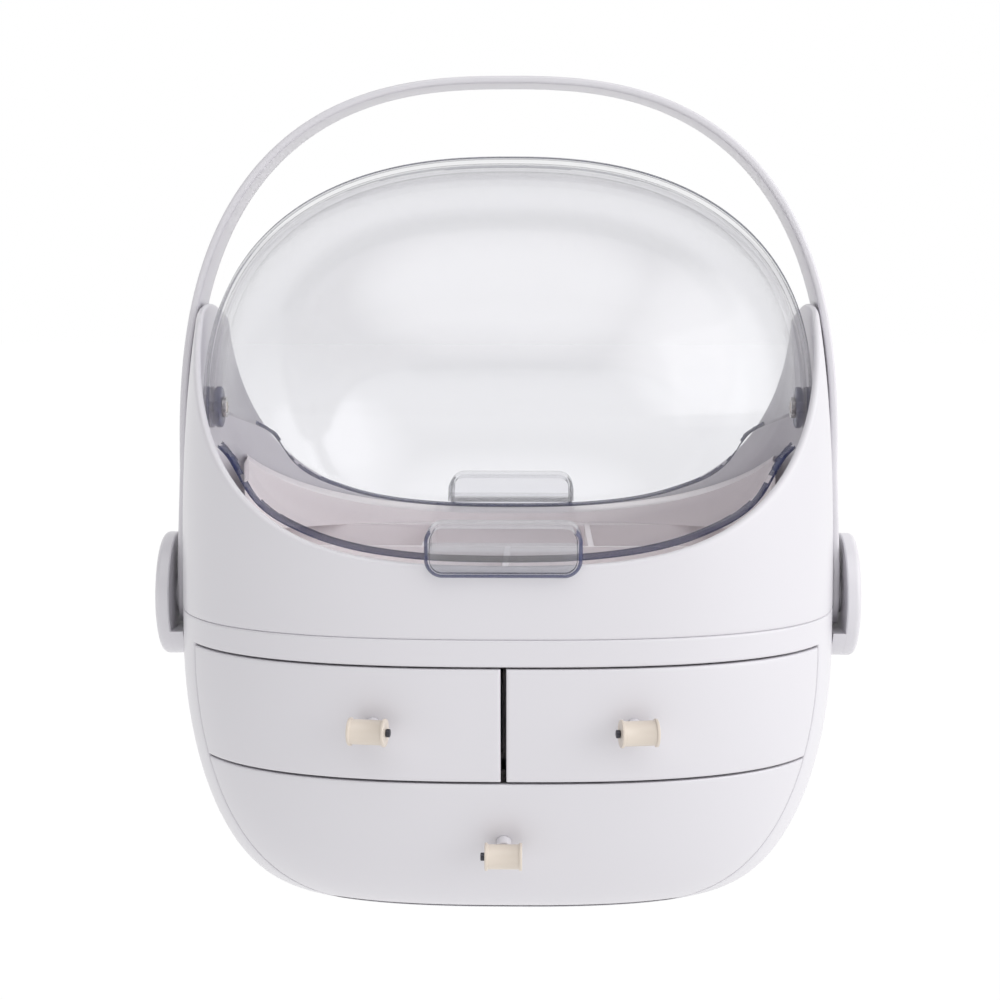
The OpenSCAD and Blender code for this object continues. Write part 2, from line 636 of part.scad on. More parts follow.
module tray_box(w, l, h, holes, zb, x0) difference() {
  linear_extrude(h) rounded(w, l, tray_corner);
  translate([0, 0, tray_floor]) linear_extrude(h)
    rounded(w - 2 * tray_wall, l - 2 * tray_wall, tray_corner - tray_wall);
  for (x = holes) along_y(x - x0, -l / 2 + tray_wall + pad, zb)
    cylinder(d = screw_bore + 0.2, h = tray_wall + 2 * pad);
}
upper_tray_width = upper_tray_reach - divider_thickness / 2 - 0.8;
upper_tray_x = divider_thickness / 2 + 0.8 + upper_tray_width / 2;
module upper_right_drawer_tray() color(white)
  translate([upper_tray_x, -tray_front + upper_tray_length / 2, upper_tray_sill])
    tray_box(upper_tray_width, upper_tray_length, upper_tray_height, upper_xs,
      upper_boss_z - upper_tray_sill, upper_tray_x);
module upper_left_drawer_tray() color(white) mirror([1, 0, 0])
  translate([upper_tray_x, -tray_front + upper_tray_length / 2, upper_tray_sill])
    tray_box(upper_tray_width, upper_tray_length, upper_tray_height, upper_xs,
      upper_boss_z - upper_tray_sill, upper_tray_x);
module lower_drawer_tray() color(white)
  translate([0, -tray_front + lower_tray_length / 2, tray_sill])
    tray_box(2 * lower_tray_half_width, lower_tray_length, lower_tray_height, lower_xs,
      lower_boss_z - tray_sill, 0);

// screws of a drawer: two through the tray into the front, one through the front into the knob
module drawer_screws(xs, zb, knob_x, knob_z) color(metal) {
  for (x = xs) along_y(x, -tray_front + tray_wall, zb) screw(tray_wall + 9);
  on_front(knob_x, knob_z) translate([0, 0, -front_thickness - 0.5])
    screw(front_thickness + knob_standoff + 3.4);
}
module upper_right_drawer_screws()
  drawer_screws(upper_xs, upper_boss_z, upper_knob_offset, upper_knob_height);
module upper_left_drawer_screws()
  drawer_screws(-upper_xs, upper_boss_z, -upper_knob_offset, upper_knob_height);
module lower_drawer_screws() drawer_screws(lower_xs, lower_boss_z, 0, lower_knob_height);

// --- knobs: a spool that lies across the front on a short spacer, with a pin through it ---
module knob_spool() color(beige) translate([0, 0, knob_standoff + knob_lip_diameter / 2])
  difference() {
    union() {
      along_x(-knob_length / 2, 0, 0) cylinder(d = knob_diameter, h = knob_length);
      for (s = [-1, 1]) along_x(s * (knob_length - knob_lip_width) / 2 - knob_lip_width / 2, 0, 0)
        cylinder(d = knob_lip_diameter, h = knob_lip_width);
    }
    along_x(-knob_length, 0, 0) cylinder(d = knob_pin_diameter + 0.1, h = 2 * knob_length);
    translate([0, 0, -knob_lip_diameter]) cylinder(d = screw_bore, h = knob_lip_diameter - 1.9);
  }
module knob_pin(side) color(metal) translate([0, 0, knob_standoff + knob_lip_diameter / 2]) {
  along_x(-knob_length / 2, 0, 0) cylinder(d = knob_pin_diameter, h = knob_length);
  along_x(side > 0 ? knob_length / 2 + 0.05 : -knob_length / 2 - 0.05 - knob_pin_head_length, 0, 0)
    cylinder(d = knob_pin_head, h = knob_pin_head_length);
  along_x(side > 0 ? knob_length / 2 - 0.2 : -knob_length / 2 - 0.2, 0, 0)
    cylinder(d = knob_pin_diameter, h = 0.4);
}
module knob_spacer() color(white) difference() {
  translate([0, 0, 0.15])
    cylinder(d = 6, h = knob_standoff + (knob_lip_diameter - knob_diameter) / 2 - 0.25);
  translate([0, 0, -pad]) cylinder(d = screw_bore, h = 12);
}
module upper_right_knob() on_front(upper_knob_offset, upper_knob_height) knob_spool();
module upper_left_knob() on_front(-upper_knob_offset, upper_knob_height) knob_spool();
module lower_knob() on_front(0, lower_knob_height) knob_spool();
module upper_right_knob_pin() on_front(upper_knob_offset, upper_knob_height) knob_pin(-1);
module upper_left_knob_pin() on_front(-upper_knob_offset, upper_knob_height) knob_pin(1);
module lower_knob_pin() on_front(0, lower_knob_height) knob_pin(-1);
module upper_right_knob_spacer() on_front(upper_knob_offset, upper_knob_height) knob_spacer();
module upper_left_knob_spacer() on_front(-upper_knob_offset, upper_knob_height) knob_spacer();
module lower_knob_spacer() on_front(0, lower_knob_height) knob_spacer();

lower_housing();
upper_shell();
drawer_shelf();
drawer_divider();
top_deck();
inner_tray();
front_cover_seat();
rear_cover_seat();
front_cover();
rear_cover();
cover_pins();
cover_pin_spacers();
cover_pin_clips();
handle();
left_handle_disc();
right_handle_disc();
handle_screws();
handle_washers();
upper_left_drawer_front();
upper_left_drawer_tray();
upper_left_knob();
upper_left_knob_pin();
upper_left_knob_spacer();
upper_left_drawer_screws();
upper_right_drawer_front();
upper_right_drawer_tray();
upper_right_knob();
upper_right_knob_pin();
upper_right_knob_spacer();
upper_right_drawer_screws();
lower_drawer_front();
lower_drawer_tray();
lower_knob();
lower_knob_pin();
lower_knob_spacer();
lower_drawer_screws();
deck_screws();
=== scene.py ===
# Looks of the dustproof makeup organizer, laid out as a Blender add-on and run as a script.
import math

import bmesh
import bpy
import numpy as np
from mathutils import Matrix, Vector


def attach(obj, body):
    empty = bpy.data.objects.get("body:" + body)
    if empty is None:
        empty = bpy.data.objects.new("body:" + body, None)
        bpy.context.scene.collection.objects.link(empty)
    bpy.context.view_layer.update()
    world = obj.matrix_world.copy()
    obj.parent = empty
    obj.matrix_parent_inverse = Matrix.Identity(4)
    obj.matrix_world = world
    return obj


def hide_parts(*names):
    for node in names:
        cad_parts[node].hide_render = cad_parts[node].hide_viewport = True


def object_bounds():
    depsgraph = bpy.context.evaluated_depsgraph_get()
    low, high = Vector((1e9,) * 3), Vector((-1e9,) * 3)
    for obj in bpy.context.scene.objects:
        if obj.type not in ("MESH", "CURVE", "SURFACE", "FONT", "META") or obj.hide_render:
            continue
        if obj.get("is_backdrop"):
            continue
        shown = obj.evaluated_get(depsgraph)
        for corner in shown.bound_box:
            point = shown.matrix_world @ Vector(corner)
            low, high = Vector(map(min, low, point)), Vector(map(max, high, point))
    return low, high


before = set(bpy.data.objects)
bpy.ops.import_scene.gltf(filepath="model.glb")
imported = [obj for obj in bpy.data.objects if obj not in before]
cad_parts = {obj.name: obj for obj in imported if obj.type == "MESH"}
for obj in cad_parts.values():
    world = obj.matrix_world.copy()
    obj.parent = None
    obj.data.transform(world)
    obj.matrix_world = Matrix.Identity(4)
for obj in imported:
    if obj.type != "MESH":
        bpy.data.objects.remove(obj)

CAD_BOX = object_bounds()

bl_info = {
    "name": "Makeup organizer",
    "version": (1, 0, 0),
    "blender": (4, 2, 0),
    "location": "View3D > Sidebar > Organizer",
    "description": "Builds the looks of a makeup organizer on its solids",
    "category": "Object",
}


def length(name, default, text):
    """A size in metres, given in millimetres."""
    return bpy.props.FloatProperty(
        name=name, description=text, default=default / 1000, unit="LENGTH", precision=5, min=0
    )


def colour(name, default, text):
    return bpy.props.FloatVectorProperty(
        name=name, description=text, subtype="COLOR_GAMMA", size=3, min=0, max=1,
        default=tuple(int(default[i:i + 2], 16) / 255 for i in (0, 2, 4)),
    )


class OrganizerSizes(bpy.types.PropertyGroup):
    """Sizes of the organizer's visible pieces"""
    case_half_width: length("Case half width", 138.5, "Half width of the case at its widest")
    case_half_depth: length("Case half depth", 111, "Half depth of the case at its deepest")
    base_half_width: length("Base half width", 91.5, "Half width of the flat base")
    base_half_depth: length("Base half depth", 60, "Half depth of the flat base")
    belly_height: length("Belly height", 105, "Height at which the case is widest")
    wall: length("Wall", 3, "Thickness of the case walls")
    seam_height: length("Seam height", 119.2, "Seam between the housing and the upper shell")
    rim_height: length("Rim height", 147.5, "Height of the front rim at the middle")
    ear_top: length("Ear top", 246, "Height of the tops of the ears")
    front_plane: length("Front plane", 60, "Where the side walls end and the fronts begin")
    opening_top: length("Opening top", 108.6, "Top of the opening for the upper drawers")
    drawer_joint: length("Drawer joint", 62.4, "Joint between the upper and lower drawers")
    front_gap: length("Front gap", 0.8, "Gap round each drawer front")
    middle_gap: length("Middle gap", 2.2, "Gap between the upper drawer fronts")
    axis_height: length("Cover axis height", 201.5, "Axis that both covers turn on")
    cover_radius: length("Cover radius", 106, "Outer radius of the front cover")
    cover_half_width: length("Cover half width", 129.5, "Half width of the front cover")
    cover_thickness: length("Cover thickness", 2.2, "Thickness of the covers")
    cover_gap: length("Cover gap", 1.2, "Gap between the front and the rear cover")
    tab_width: length("Tab width", 60, "Width of a pull tab")
    tab_height: length("Tab height", 20.5, "Height of a pull tab")
    knob_length: length("Knob length", 14.5, "Length of a knob")
    knob_diameter: length("Knob diameter", 9.6, "Diameter of a knob")
    knob_lip: length("Knob lip", 10.8, "Diameter of a knob's lips")
    knob_standoff: length("Knob standoff", 4, "Gap between a knob and its front")
    handle_axis: length("Handle axis height", 120.5, "Axis that the handle turns on")
    strap_gap: length("Strap gap", 0.6, "Gap between the case and the handle strap")
    disc_gap: length("Disc gap", 1.4, "Gap between the handle strap and a side disc")
    strap_width: length("Strap width", 26, "Width of the handle strap")
    strap_thickness: length("Strap thickness", 3.2, "Thickness of the handle strap")
    handle_top: length("Handle top", 341, "Height of the top of the handle")
    arch_start: length("Arch start", 175, "Height at which the arch starts")
    disc_diameter: length("Disc diameter", 53, "Diameter of the side discs")
    disc_thickness: length("Disc thickness", 6, "Thickness of the side discs")
    screw_diameter: length("Screw diameter", 3, "Diameter of the screws' shanks")
    screw_head_diameter: length("Screw head diameter", 6, "Diameter of the screw heads")
    screw_head_height: length("Screw head height", 1.8, "Height of the screw heads")
    edge_round: length("Edge round", 0.9, "Rounding of the moulded edges")


class OrganizerColours(bpy.types.PropertyGroup):
    """Colours of the organizer's plastics and metal"""
    case: colour("Case", "D9D7DC", "White plastic of the case")
    inside: colour("Inside", "F4EEEF", "White plastic of the tray and ledges")
    cover: colour("Covers", "FBFBFC", "Clear plastic of the covers")
    # painted shade: dark blue for the clear plastic where it is seen edge on and at its cut edges
    cover_edge_painted_shade: colour("Cover edges", "2B335F", "What the cut edges of the clear plastic show")
    knob: colour("Knobs", "D9CEC2", "Beige plastic of the knobs")
    pin: colour("Pins", "4A4A50", "Steel of the pins")


def mm(name):
    """A size of the panel, in millimetres."""
    return getattr(bpy.context.scene.organizer_sizes, name) * 1000


def linear(rgb):
    """sRGB values from 0 to 1, or six hex digits, as linear RGBA."""
    if isinstance(rgb, str):
        rgb = [int(rgb[i:i + 2], 16) / 255 for i in (0, 2, 4)]
    return [c / 12.92 if c <= 0.04045 else ((c + 0.055) / 1.055) ** 2.4 for c in rgb] + [1.0]


# --- the case's outer form, in millimetres ---
PLAN = 2.6            # squareness of the plan, where 2 is an ellipse
EAR_TAPER = 10        # how far the sides lean in at TAPER_HEIGHT above the belly
TAPER_HEIGHT = 150
DEPTH_TAPER = 0.8     # share of that lean at the front and back
RIM_RISE = 145        # how far the rim's curve would climb from the front to the middle
RIM_CURVE = 1.2
EAR_REACH = 35        # where the rim's curve turns into the round top of the ear


def bulge(z):
    """Share of the way from the base to the belly, as a quarter of an ellipse."""
    belly = mm("belly_height")
    return np.sqrt(np.maximum(0, 1 - (1 - np.minimum(z, belly) / belly) ** 2))


def taper(z):
    """How far the sides lean in above the belly."""
    return EAR_TAPER * (np.maximum(0, z - mm("belly_height")) / TAPER_HEIGHT) ** 3


def half_width(z):
    low = mm("base_half_width")
    return low + (mm("case_half_width") - low) * bulge(z) - taper(z)


def half_depth(z):
    low = mm("base_half_depth")
    return low + (mm("case_half_depth") - low) * bulge(z) - DEPTH_TAPER * taper(z)


def signed(v, p):
    """Power that keeps the sign."""
    return np.sign(v) * np.abs(v) ** p


def on_case(t, z, inset=0.0):
    """Point of the case's skin at plan angle t and height z, set in by inset."""
    x = (half_width(z) - inset) * signed(np.cos(t), 2 / PLAN)
    y = (half_depth(z) - inset) * signed(np.sin(t), 2 / PLAN)
    return np.stack([x, y, z + 0 * t], -1)


def depth_at(x, z, inset=0.0):
    """Half depth of the case's skin, set in by inset, at x and z."""
    u = np.minimum(1, np.abs(x) / (half_width(z) - inset))
    return (half_depth(z) - inset) * (1 - u ** PLAN) ** (1 / PLAN)


def width_at(y, z, inset=0.0):
    """Half width of the case's skin, set in by inset, at y and z."""
    u = np.minimum(1, np.abs(y) / (half_depth(z) - inset))
    return (half_width(z) - inset) * (1 - u ** PLAN) ** (1 / PLAN)


def rim_at(y):
    """Height of the upper shell's rim above a point of the side view."""
    top, low = mm("ear_top"), mm("rim_height")
    slope = lambda v: low + RIM_RISE * np.maximum(0, 1 - np.abs(v) / mm("case_half_depth")) ** RIM_CURVE
    ear = top - (top - slope(EAR_REACH)) * (y / EAR_REACH) ** 2
    return np.where(np.abs(y) >= EAR_REACH, slope(y), ear)


def rolled(d, r):
    """How far a rounded edge of radius r falls back at distance d from the edge."""
    d = np.clip(d, 0, r)
    return r - np.sqrt(np.maximum(0, r * r - (r - d) ** 2))


# places of the points across a rounded edge, as shares of its radius
STEPS = np.array([0, 0.04, 0.14, 0.3, 0.55, 1.0])


def clustered(a, b, n, r):
    """n steps from a to b, with extra ones over the rounded ends."""
    start, end = a + r, b - r
    return np.concatenate([a + STEPS * r, start + (end - start) * np.arange(1, n) / n, b - STEPS[::-1] * r])


# --- meshes ---
POLE = 0.01           # radius at which a turned solid's ends are closed by a flat cap


def linked(name, data):
    """A new object in the scene."""
    o = bpy.data.objects.new(name, data)
    bpy.context.scene.collection.objects.link(o)
    return o


def mesh_object(name, points, faces):
    """A mesh in metres from points in millimetres, with its doubles merged and faces outwards."""
    me = bpy.data.meshes.new(name)
    me.from_pydata((np.asarray(points, float) / 1000).tolist(), [], [list(map(int, f)) for f in faces])
    me.update()
    o = linked(name, me)
    tidy_mesh(me)
    smooth_by_angle(o, 40)
    return o


def tidy_mesh(me):
    """Merges doubled points and turns the faces outwards."""
    bm = bmesh.new()
    bm.from_mesh(me)
    bmesh.ops.remove_doubles(bm, verts=bm.verts, dist=2e-6)
    bmesh.ops.recalc_face_normals(bm, faces=bm.faces)
    bm.to_mesh(me)
    bm.free()


def smooth_by_angle(o, degrees):
    o.data.shade_smooth()
    o.data.set_sharp_from_angle(angle=math.radians(degrees))


def shell(name, outer, inner, mask=None, wrap=False):
    """A closed wall between two grids of points; mask says which cells are there."""
    m, n = outer.shape[:2]
    cols = n if wrap else n - 1
    if mask is None:
        mask = np.ones((m - 1, cols), bool)
    size = m * n
    at = lambda r, c: r * n + c % n
    faces, edges = [], {}
    for r in range(m - 1):
        for c in range(cols):
            if not mask[r, c]:
                continue
            quad = [at(r, c), at(r, c + 1), at(r + 1, c + 1), at(r + 1, c)]
            faces.append(quad)
            faces.append([v + size for v in reversed(quad)])
            for k in range(4):
                e = (quad[k], quad[(k + 1) % 4])
                if (e[1], e[0]) in edges:
                    del edges[(e[1], e[0])]
                else:
                    edges[e] = True
    for a, b in edges:
        faces.append([b, a, a + size, b + size])
    return mesh_object(name, np.concatenate([outer.reshape(-1, 3), inner.reshape(-1, 3)]), faces)


def tube(rings, count):
    """Faces of a tube of closed rings of points, with a cap at its first and its last ring."""
    faces = [[i * count + j, i * count + (j + 1) % count, (i + 1) * count + (j + 1) % count,
              (i + 1) * count + j] for i in range(rings - 1) for j in range(count)]
    return faces + [list(range(count)), list(range((rings - 1) * count, rings * count))]


def turned(name, profile, count, axis, centre):
    """A solid turned about an axis, X or Z. The profile holds pairs (along the axis, radius)."""
    profile = np.asarray(profile, float)
    a = np.linspace(0, 2 * np.pi, count, endpoint=False)
    along = profile[:, 0][:, None] + 0 * a
    u, v = profile[:, 1][:, None] * np.cos(a), profile[:, 1][:, None] * np.sin(a)
    points = np.stack((along, u, v) if axis == "X" else (u, v, along), -1) + centre
    return mesh_object(name, points.reshape(-1, 3), tube(len(profile), count))


def spool(long, radius, lip, lip_width, edge):
    """Profile of a bar with a lip at both ends and rounded edges."""
    h = long / 2
    arc = [(edge * (1 - math.cos(a)), edge * (1 - math.sin(a))) for a in np.linspace(0, math.pi / 2, 6)]
    # from the lip down to the bar, over 0.35 mm
    fall = [(lip_width + 0.35 * k / 6, lip - (lip - radius) * (1 - math.cos(math.pi * k / 6)) / 2)
            for k in range(7)]
    pts = [(-h, POLE), (-h, lip - edge - 0.01)] + [(-h + p, lip - q) for p, q in arc]
    pts += [(-h + p, q) for p, q in fall]
    return pts + [(-p, q) for p, q in reversed(pts)]


def join(objs, name):
    """Several meshes as one object."""
    bpy.ops.object.select_all(action="DESELECT")
    for o in objs:
        o.select_set(True)
    bpy.context.view_layer.objects.active = objs[0]
    bpy.ops.object.join()
    objs[0].name = name
    objs[0].data.name = name
    return objs[0]


def placed(o, matrix):
    """Moves a mesh's points by a matrix given in millimetres."""
    m = matrix.copy()
    m.translation = m.translation / 1000
    o.data.transform(m)
    if m.determinant() < 0:
        o.data.flip_normals()
    return o


def finish(o, body, slot, mat, *nodes):
    """Gives a piece its materials and body, and hides the nodes that it stands for; slot is not used."""
    index = [f.material_index for f in o.data.polygons]
    o.data.materials.clear()
    for m in mat if isinstance(mat, (list, tuple)) else [mat]:
        o.data.materials.append(m)
    o.data.polygons.foreach_set("material_index", index)
    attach(o, body)
    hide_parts(*nodes)
    return o


# --- materials ---
def add(tree, kind, inputs=None, links=None, **settings):
    """Adds a node with its settings, its input values and the sockets linked to its inputs."""
    n = tree.nodes.new(kind)
    for key, value in settings.items():
        setattr(n, key, value)
    for key, value in (inputs or {}).items():
        n.inputs[key].default_value = value
    for key, socket in (links or {}).items():
        tree.links.new(socket, n.inputs[key])
    return n


def new_material(name):
    """A material and its node tree, emptied."""
    mat = bpy.data.materials.new(name)
    mat.use_nodes = True
    mat.node_tree.nodes.clear()
    return mat, mat.node_tree


def moulded_plastic(name, rgb, roughness, peel, mottling=0.012):
    """Injection-moulded ABS: smooth, with a faint waviness that softens its reflections."""
    mat, t = new_material(name)
    where = add(t, "ShaderNodeTexCoord").outputs["Object"]
    # cloudiness of the colour, about 40 mm across
    cloud = add(t, "ShaderNodeTexNoise", {"Scale": 25.0, "Detail": 2.0}, {"Vector": where})
    base = linear(rgb)
    dark = [c * (1 - mottling) for c in base[:3]] + [1]
    ramp = add(t, "ShaderNodeMix", {6: dark, 7: base}, {0: cloud.outputs["Fac"]}, data_type="RGBA")
    # gloss varies a little where the tool was polished, about 60 mm across
    rub = add(t, "ShaderNodeTexNoise", {"Scale": 16.0, "Detail": 3.0}, {"Vector": where})
    rough = add(t, "ShaderNodeMapRange", {"To Min": roughness - 0.03, "To Max": roughness + 0.03},
                {"Value": rub.outputs["Fac"]})
    # orange peel of about 1.2 mm
    wave = add(t, "ShaderNodeTexNoise", {"Scale": 800.0, "Detail": 1.0}, {"Vector": where})
    bump = add(t, "ShaderNodeBump", {"Strength": peel, "Distance": 0.00005},
               {"Height": wave.outputs["Fac"]})
    s = add(t, "ShaderNodeBsdfPrincipled", {"IOR": 1.53},
            {"Base Color": ramp.outputs[2], "Roughness": rough.outputs["Result"],
             "Normal": bump.outputs["Normal"]})
    add(t, "ShaderNodeOutputMaterial", links={"Surface": s.outputs[0]})
    return mat


def clear_plastic(name, rgb, line, rough=0.03, body=0.0):
    """Moulded clear polystyrene: what lies behind shows through, under its own reflections.

    The sheet looks dark where it is seen edge on, because light leaves it there from far inside; that dark is
    painted shade, an opaque dark blue mixed in over the clear look.
    """
    mat, t = new_material(name)
    where = add(t, "ShaderNodeTexCoord").outputs["Object"]
    # faint flow waves of the moulding, about 30 mm across
    flow = add(t, "ShaderNodeTexNoise", {"Scale": 30.0, "Detail": 1.0}, {"Vector": where})
    bump = add(t, "ShaderNodeBump", {"Strength": 0.05, "Distance": 0.0003},
               {"Height": flow.outputs["Fac"]})
    facing = add(t, "ShaderNodeLayerWeight", {"Blend": 0.5}).outputs["Facing"]
    # reflection of a surface of polystyrene, 5 parts in 100 straight on and all of it at grazing
    fifth = add(t, "ShaderNodeMath", {1: 5.0}, {0: facing}, operation="POWER")
    mirror = add(t, "ShaderNodeMath", {1: 0.8, 2: 0.05}, {0: fifth.outputs[0]}, operation="MULTIPLY_ADD")
    through = add(t, "ShaderNodeBsdfTransparent", {"Color": linear(rgb)})
    gloss = add(t, "ShaderNodeBsdfGlossy", {"Roughness": rough}, {"Normal": bump.outputs["Normal"]})
    clear = add(t, "ShaderNodeMixShader", links={0: mirror.outputs[0], 1: through.outputs[0],
                                                 2: gloss.outputs[0]})
    # painted shade: an opaque dark blue, mixed in where the sheet is seen near edge on, and everywhere by the
    # share body
    rim = add(t, "ShaderNodeBsdfPrincipled", {"Base Color": linear(line), "Roughness": 0.2})
    seen = add(t, "ShaderNodeMapRange", {"From Min": 0.93, "From Max": 0.99, "To Min": body, "To Max": 0.9},
               {"Value": facing}, interpolation_type="SMOOTHSTEP")
    both = add(t, "ShaderNodeMixShader", links={0: seen.outputs[0], 1: clear.outputs[0], 2: rim.outputs[0]})
    add(t, "ShaderNodeOutputMaterial", links={"Surface": both.outputs[0]})
    return mat


def plated_steel(name, rgb, roughness):
    """Nickel-plated steel: drawn wire and turned heads, with fine marks round them."""
    mat, t = new_material(name)
    where = add(t, "ShaderNodeTexCoord").outputs["Object"]
    marks = add(t, "ShaderNodeTexNoise", {"Scale": 900.0, "Detail": 3.0}, {"Vector": where})
    rough = add(t, "ShaderNodeMapRange", {"To Min": roughness - 0.05, "To Max": roughness + 0.08},
                {"Value": marks.outputs["Fac"]})
    s = add(t, "ShaderNodeBsdfPrincipled", {"Base Color": linear(rgb), "Metallic": 1.0},
            {"Roughness": rough.outputs["Result"]})
    add(t, "ShaderNodeOutputMaterial", links={"Surface": s.outputs[0]})
    return mat


MATERIALS = {}


def material(name):
    """A material by its use; all are made at the first call."""
    if not MATERIALS:
        c = bpy.context.scene.organizer_colours
        MATERIALS.update(
            case=moulded_plastic("white_abs", c.case, 0.3, 0.03),
            inside=moulded_plastic("white_abs_inside", c.inside, 0.42, 0.04),
            knob=moulded_plastic("beige_abs", c.knob, 0.36, 0.03, 0.03),
            cover=clear_plastic("clear_polystyrene", c.cover, c.cover_edge_painted_shade, 0.08),
            # light that entered the sheet leaves at its cut edge, so the edge shows dark blue; here that dark
            # blue is painted shade, mixed in at 0.8 even straight on
            edge=clear_plastic("clear_polystyrene_painted_edge_shade", c.cover, c.cover_edge_painted_shade, 0.15, 0.8),
            pin=plated_steel("blackened_steel", c.pin, 0.3),
            steel=plated_steel("nickel_plated_steel", "B9B6B4", 0.25),
        )
    return MATERIALS[name]


class Build(bpy.types.Operator):
    """Base of the operators, each of which builds one piece or one group of pieces"""
    bl_options = {"REGISTER", "UNDO"}

    def execute(self, context):
        self.build()
        return {"FINISHED"}


def plan_speed(t, z):
    """Millimetres along the skin for one radian of plan angle."""
    e = 1e-4
    a, b = on_case(t - e, z), on_case(t + e, z)
    return np.linalg.norm(a - b, axis=-1) / (2 * e)


# --- case, in millimetres ---
FLOOR = 2.6           # thickness of the floor
FLOOR_CORNER = 3      # extra wall where it meets the floor,
CORNER_HEIGHT = 20    # up to this height
RUNNER_X = 55         # runners under the lower drawer
RUNNER_WIDTH = 4
RUNNER_HEIGHT = 5
RUNNER_LENGTH = 112
BOSS_X = 121          # bosses that carry the deck
BOSS_Y = 46
BOSS_BOTTOM = 100
BOSS_TOP = 109
BOSS_RADIUS = 4
BOSS_BORE = 1.6
SHELF_BOTTOM = 61.15  # ribs that carry the shelf
SHELF_RIB = 8
SHELF_RIB_Y = 50


class ORGANIZER_OT_lower_housing(Build, bpy.types.Operator):
    """Housing round the drawers, with the strip over them and the floor"""
    bl_idname = "organizer.lower_housing"
    bl_label = "Lower housing"

    def build(self):
        r, wall = mm("edge_round"), mm("wall")
        seam, top, front = mm("seam_height"), mm("opening_top"), mm("front_plane")
        # heights, then plan angles: first the side and back wall, then the strip over the drawers
        z = np.concatenate([[0, 0.25, 0.8, 1.7, FLOOR], np.linspace(FLOOR + 0.9, top - r - 2, 50),
                            top - r * STEPS[::-1], top + r * STEPS[1:],
                            np.linspace(top + r + 1, seam - r - 0.5, 4), seam - r * STEPS[::-1]])
        edge = np.arcsin(np.clip((front / half_depth(z)) ** (PLAN / 2), 0, 1))
        speed = plan_speed(-edge, z)
        near = (STEPS * r)[None, :] / speed[:, None]
        share = np.linspace(0, 1, 161)[1:-1]
        a0, a1 = -edge[:, None] + near[:, -1:], np.pi + edge[:, None] - near[:, -1:]
        side = np.concatenate([-edge[:, None] + near, a0 + (a1 - a0) * share,
                               np.pi + edge[:, None] - near[:, ::-1]], 1)
        b0, b1 = np.pi + edge[:, None], 2 * np.pi - edge[:, None]
        strip = b0 + (b1 - b0) * np.linspace(0, 1, 97)[1:-1]
        t = np.concatenate([side, strip], 1)
        zz = z[:, None] + 0 * t
        n_side = side.shape[1]
        from_edge = np.minimum(side + edge[:, None], np.pi + edge[:, None] - side) * speed[:, None]
        above = np.maximum(0, zz - top)
        d = np.where(zz[:, :n_side] < top, from_edge, np.hypot(from_edge, above[:, :n_side]))
        # how far the rounded edges set the skin in
        fall = np.zeros_like(t)
        fall[:, :n_side] = rolled(d, r)
        fall[:, n_side:] = np.where(zz[:, n_side:] >= top, rolled(above[:, n_side:], r), 0)
        fall = np.maximum(fall, rolled(seam - zz, r))
        outer = on_case(t, zz, fall)
        # the wall is thicker where it meets the floor
        corner = FLOOR_CORNER * np.maximum(0, 1 - zz / CORNER_HEIGHT) ** 2 * np.minimum(1, zz / FLOOR)
        inside = on_case(t, zz, wall + corner)
        mask = np.ones((len(z) - 1, t.shape[1]), bool)
        low = (z[:-1] >= FLOOR - 0.1) & (z[:-1] < top - 1e-6)
        mask[np.ix_(low, np.arange(n_side - 1, t.shape[1]))] = False
        body = shell("housing_wall", outer, inside, mask, wrap=True)
        around = 192
        ring = on_case(np.linspace(0, 2 * np.pi, around, endpoint=False), np.zeros(around), 1.0)
        floor = mesh_object("housing_floor", np.concatenate([ring, ring + [0, 0, FLOOR]]), tube(2, around))
        boss = [(BOSS_BOTTOM, BOSS_BORE), (BOSS_BOTTOM, BOSS_RADIUS), (BOSS_TOP, BOSS_RADIUS),
                (BOSS_TOP, BOSS_BORE), (BOSS_BOTTOM + 1, BOSS_BORE)]
        inner = [self.runner(side) for side in (-1, 1)]
        for side in (-1, 1):
            for y in (-BOSS_Y, BOSS_Y):
                inner.append(turned("boss", boss, 32, "Z", (side * BOSS_X, y, 0)))
                inner.append(self.rib(side, BOSS_X, y, BOSS_BOTTOM, BOSS_TOP - BOSS_BOTTOM))
            for y in (-SHELF_RIB_Y, 0, SHELF_RIB_Y):
                x = float(width_at(y, SHELF_BOTTOM, wall)) - 9
                inner.append(self.rib(side, x, y, SHELF_BOTTOM - SHELF_RIB, SHELF_RIB))
        housing = join([body, floor] + inner, "lower_housing_shell")
        finish(housing, "case", "white_shell", material("case"), "lower_housing")

    def runner(self, side):
        """Bar that the lower drawer slides on, sunk 0.1 mm into the floor."""
        height = RUNNER_HEIGHT + 0.1
        return slab_block(side * RUNNER_X, -mm("front_plane") + RUNNER_LENGTH / 2, FLOOR - 0.1 + height / 2,
                          RUNNER_WIDTH, RUNNER_LENGTH, height)

    def rib(self, side, x, y, z, height):
        """Rib 3 mm thick from x out into the wall."""
        end = float(width_at(abs(y) + 1.5, z, mm("wall"))) + mm("wall") - 0.8
        return slab_block(side * (x + end) / 2, y, z + height / 2, end - x, 3, height)


def slab_block(x, y, z, w, l, h, edge=0.3):
    """A small bar with broken edges, centred."""
    bm = bmesh.new()
    bmesh.ops.create_cube(bm, size=1)
    bmesh.ops.scale(bm, verts=bm.verts, vec=(w / 1000, l / 1000, h / 1000))
    bmesh.ops.bevel(bm, geom=bm.edges[:], offset=edge / 1000, segments=2, affect="EDGES")
    bmesh.ops.translate(bm, verts=bm.verts, vec=(x / 1000, y / 1000, z / 1000))
    me = bpy.data.meshes.new("bar")
    bm.to_mesh(me)
    bm.free()
    o = linked("bar", me)
    smooth_by_angle(o, 40)
    return o


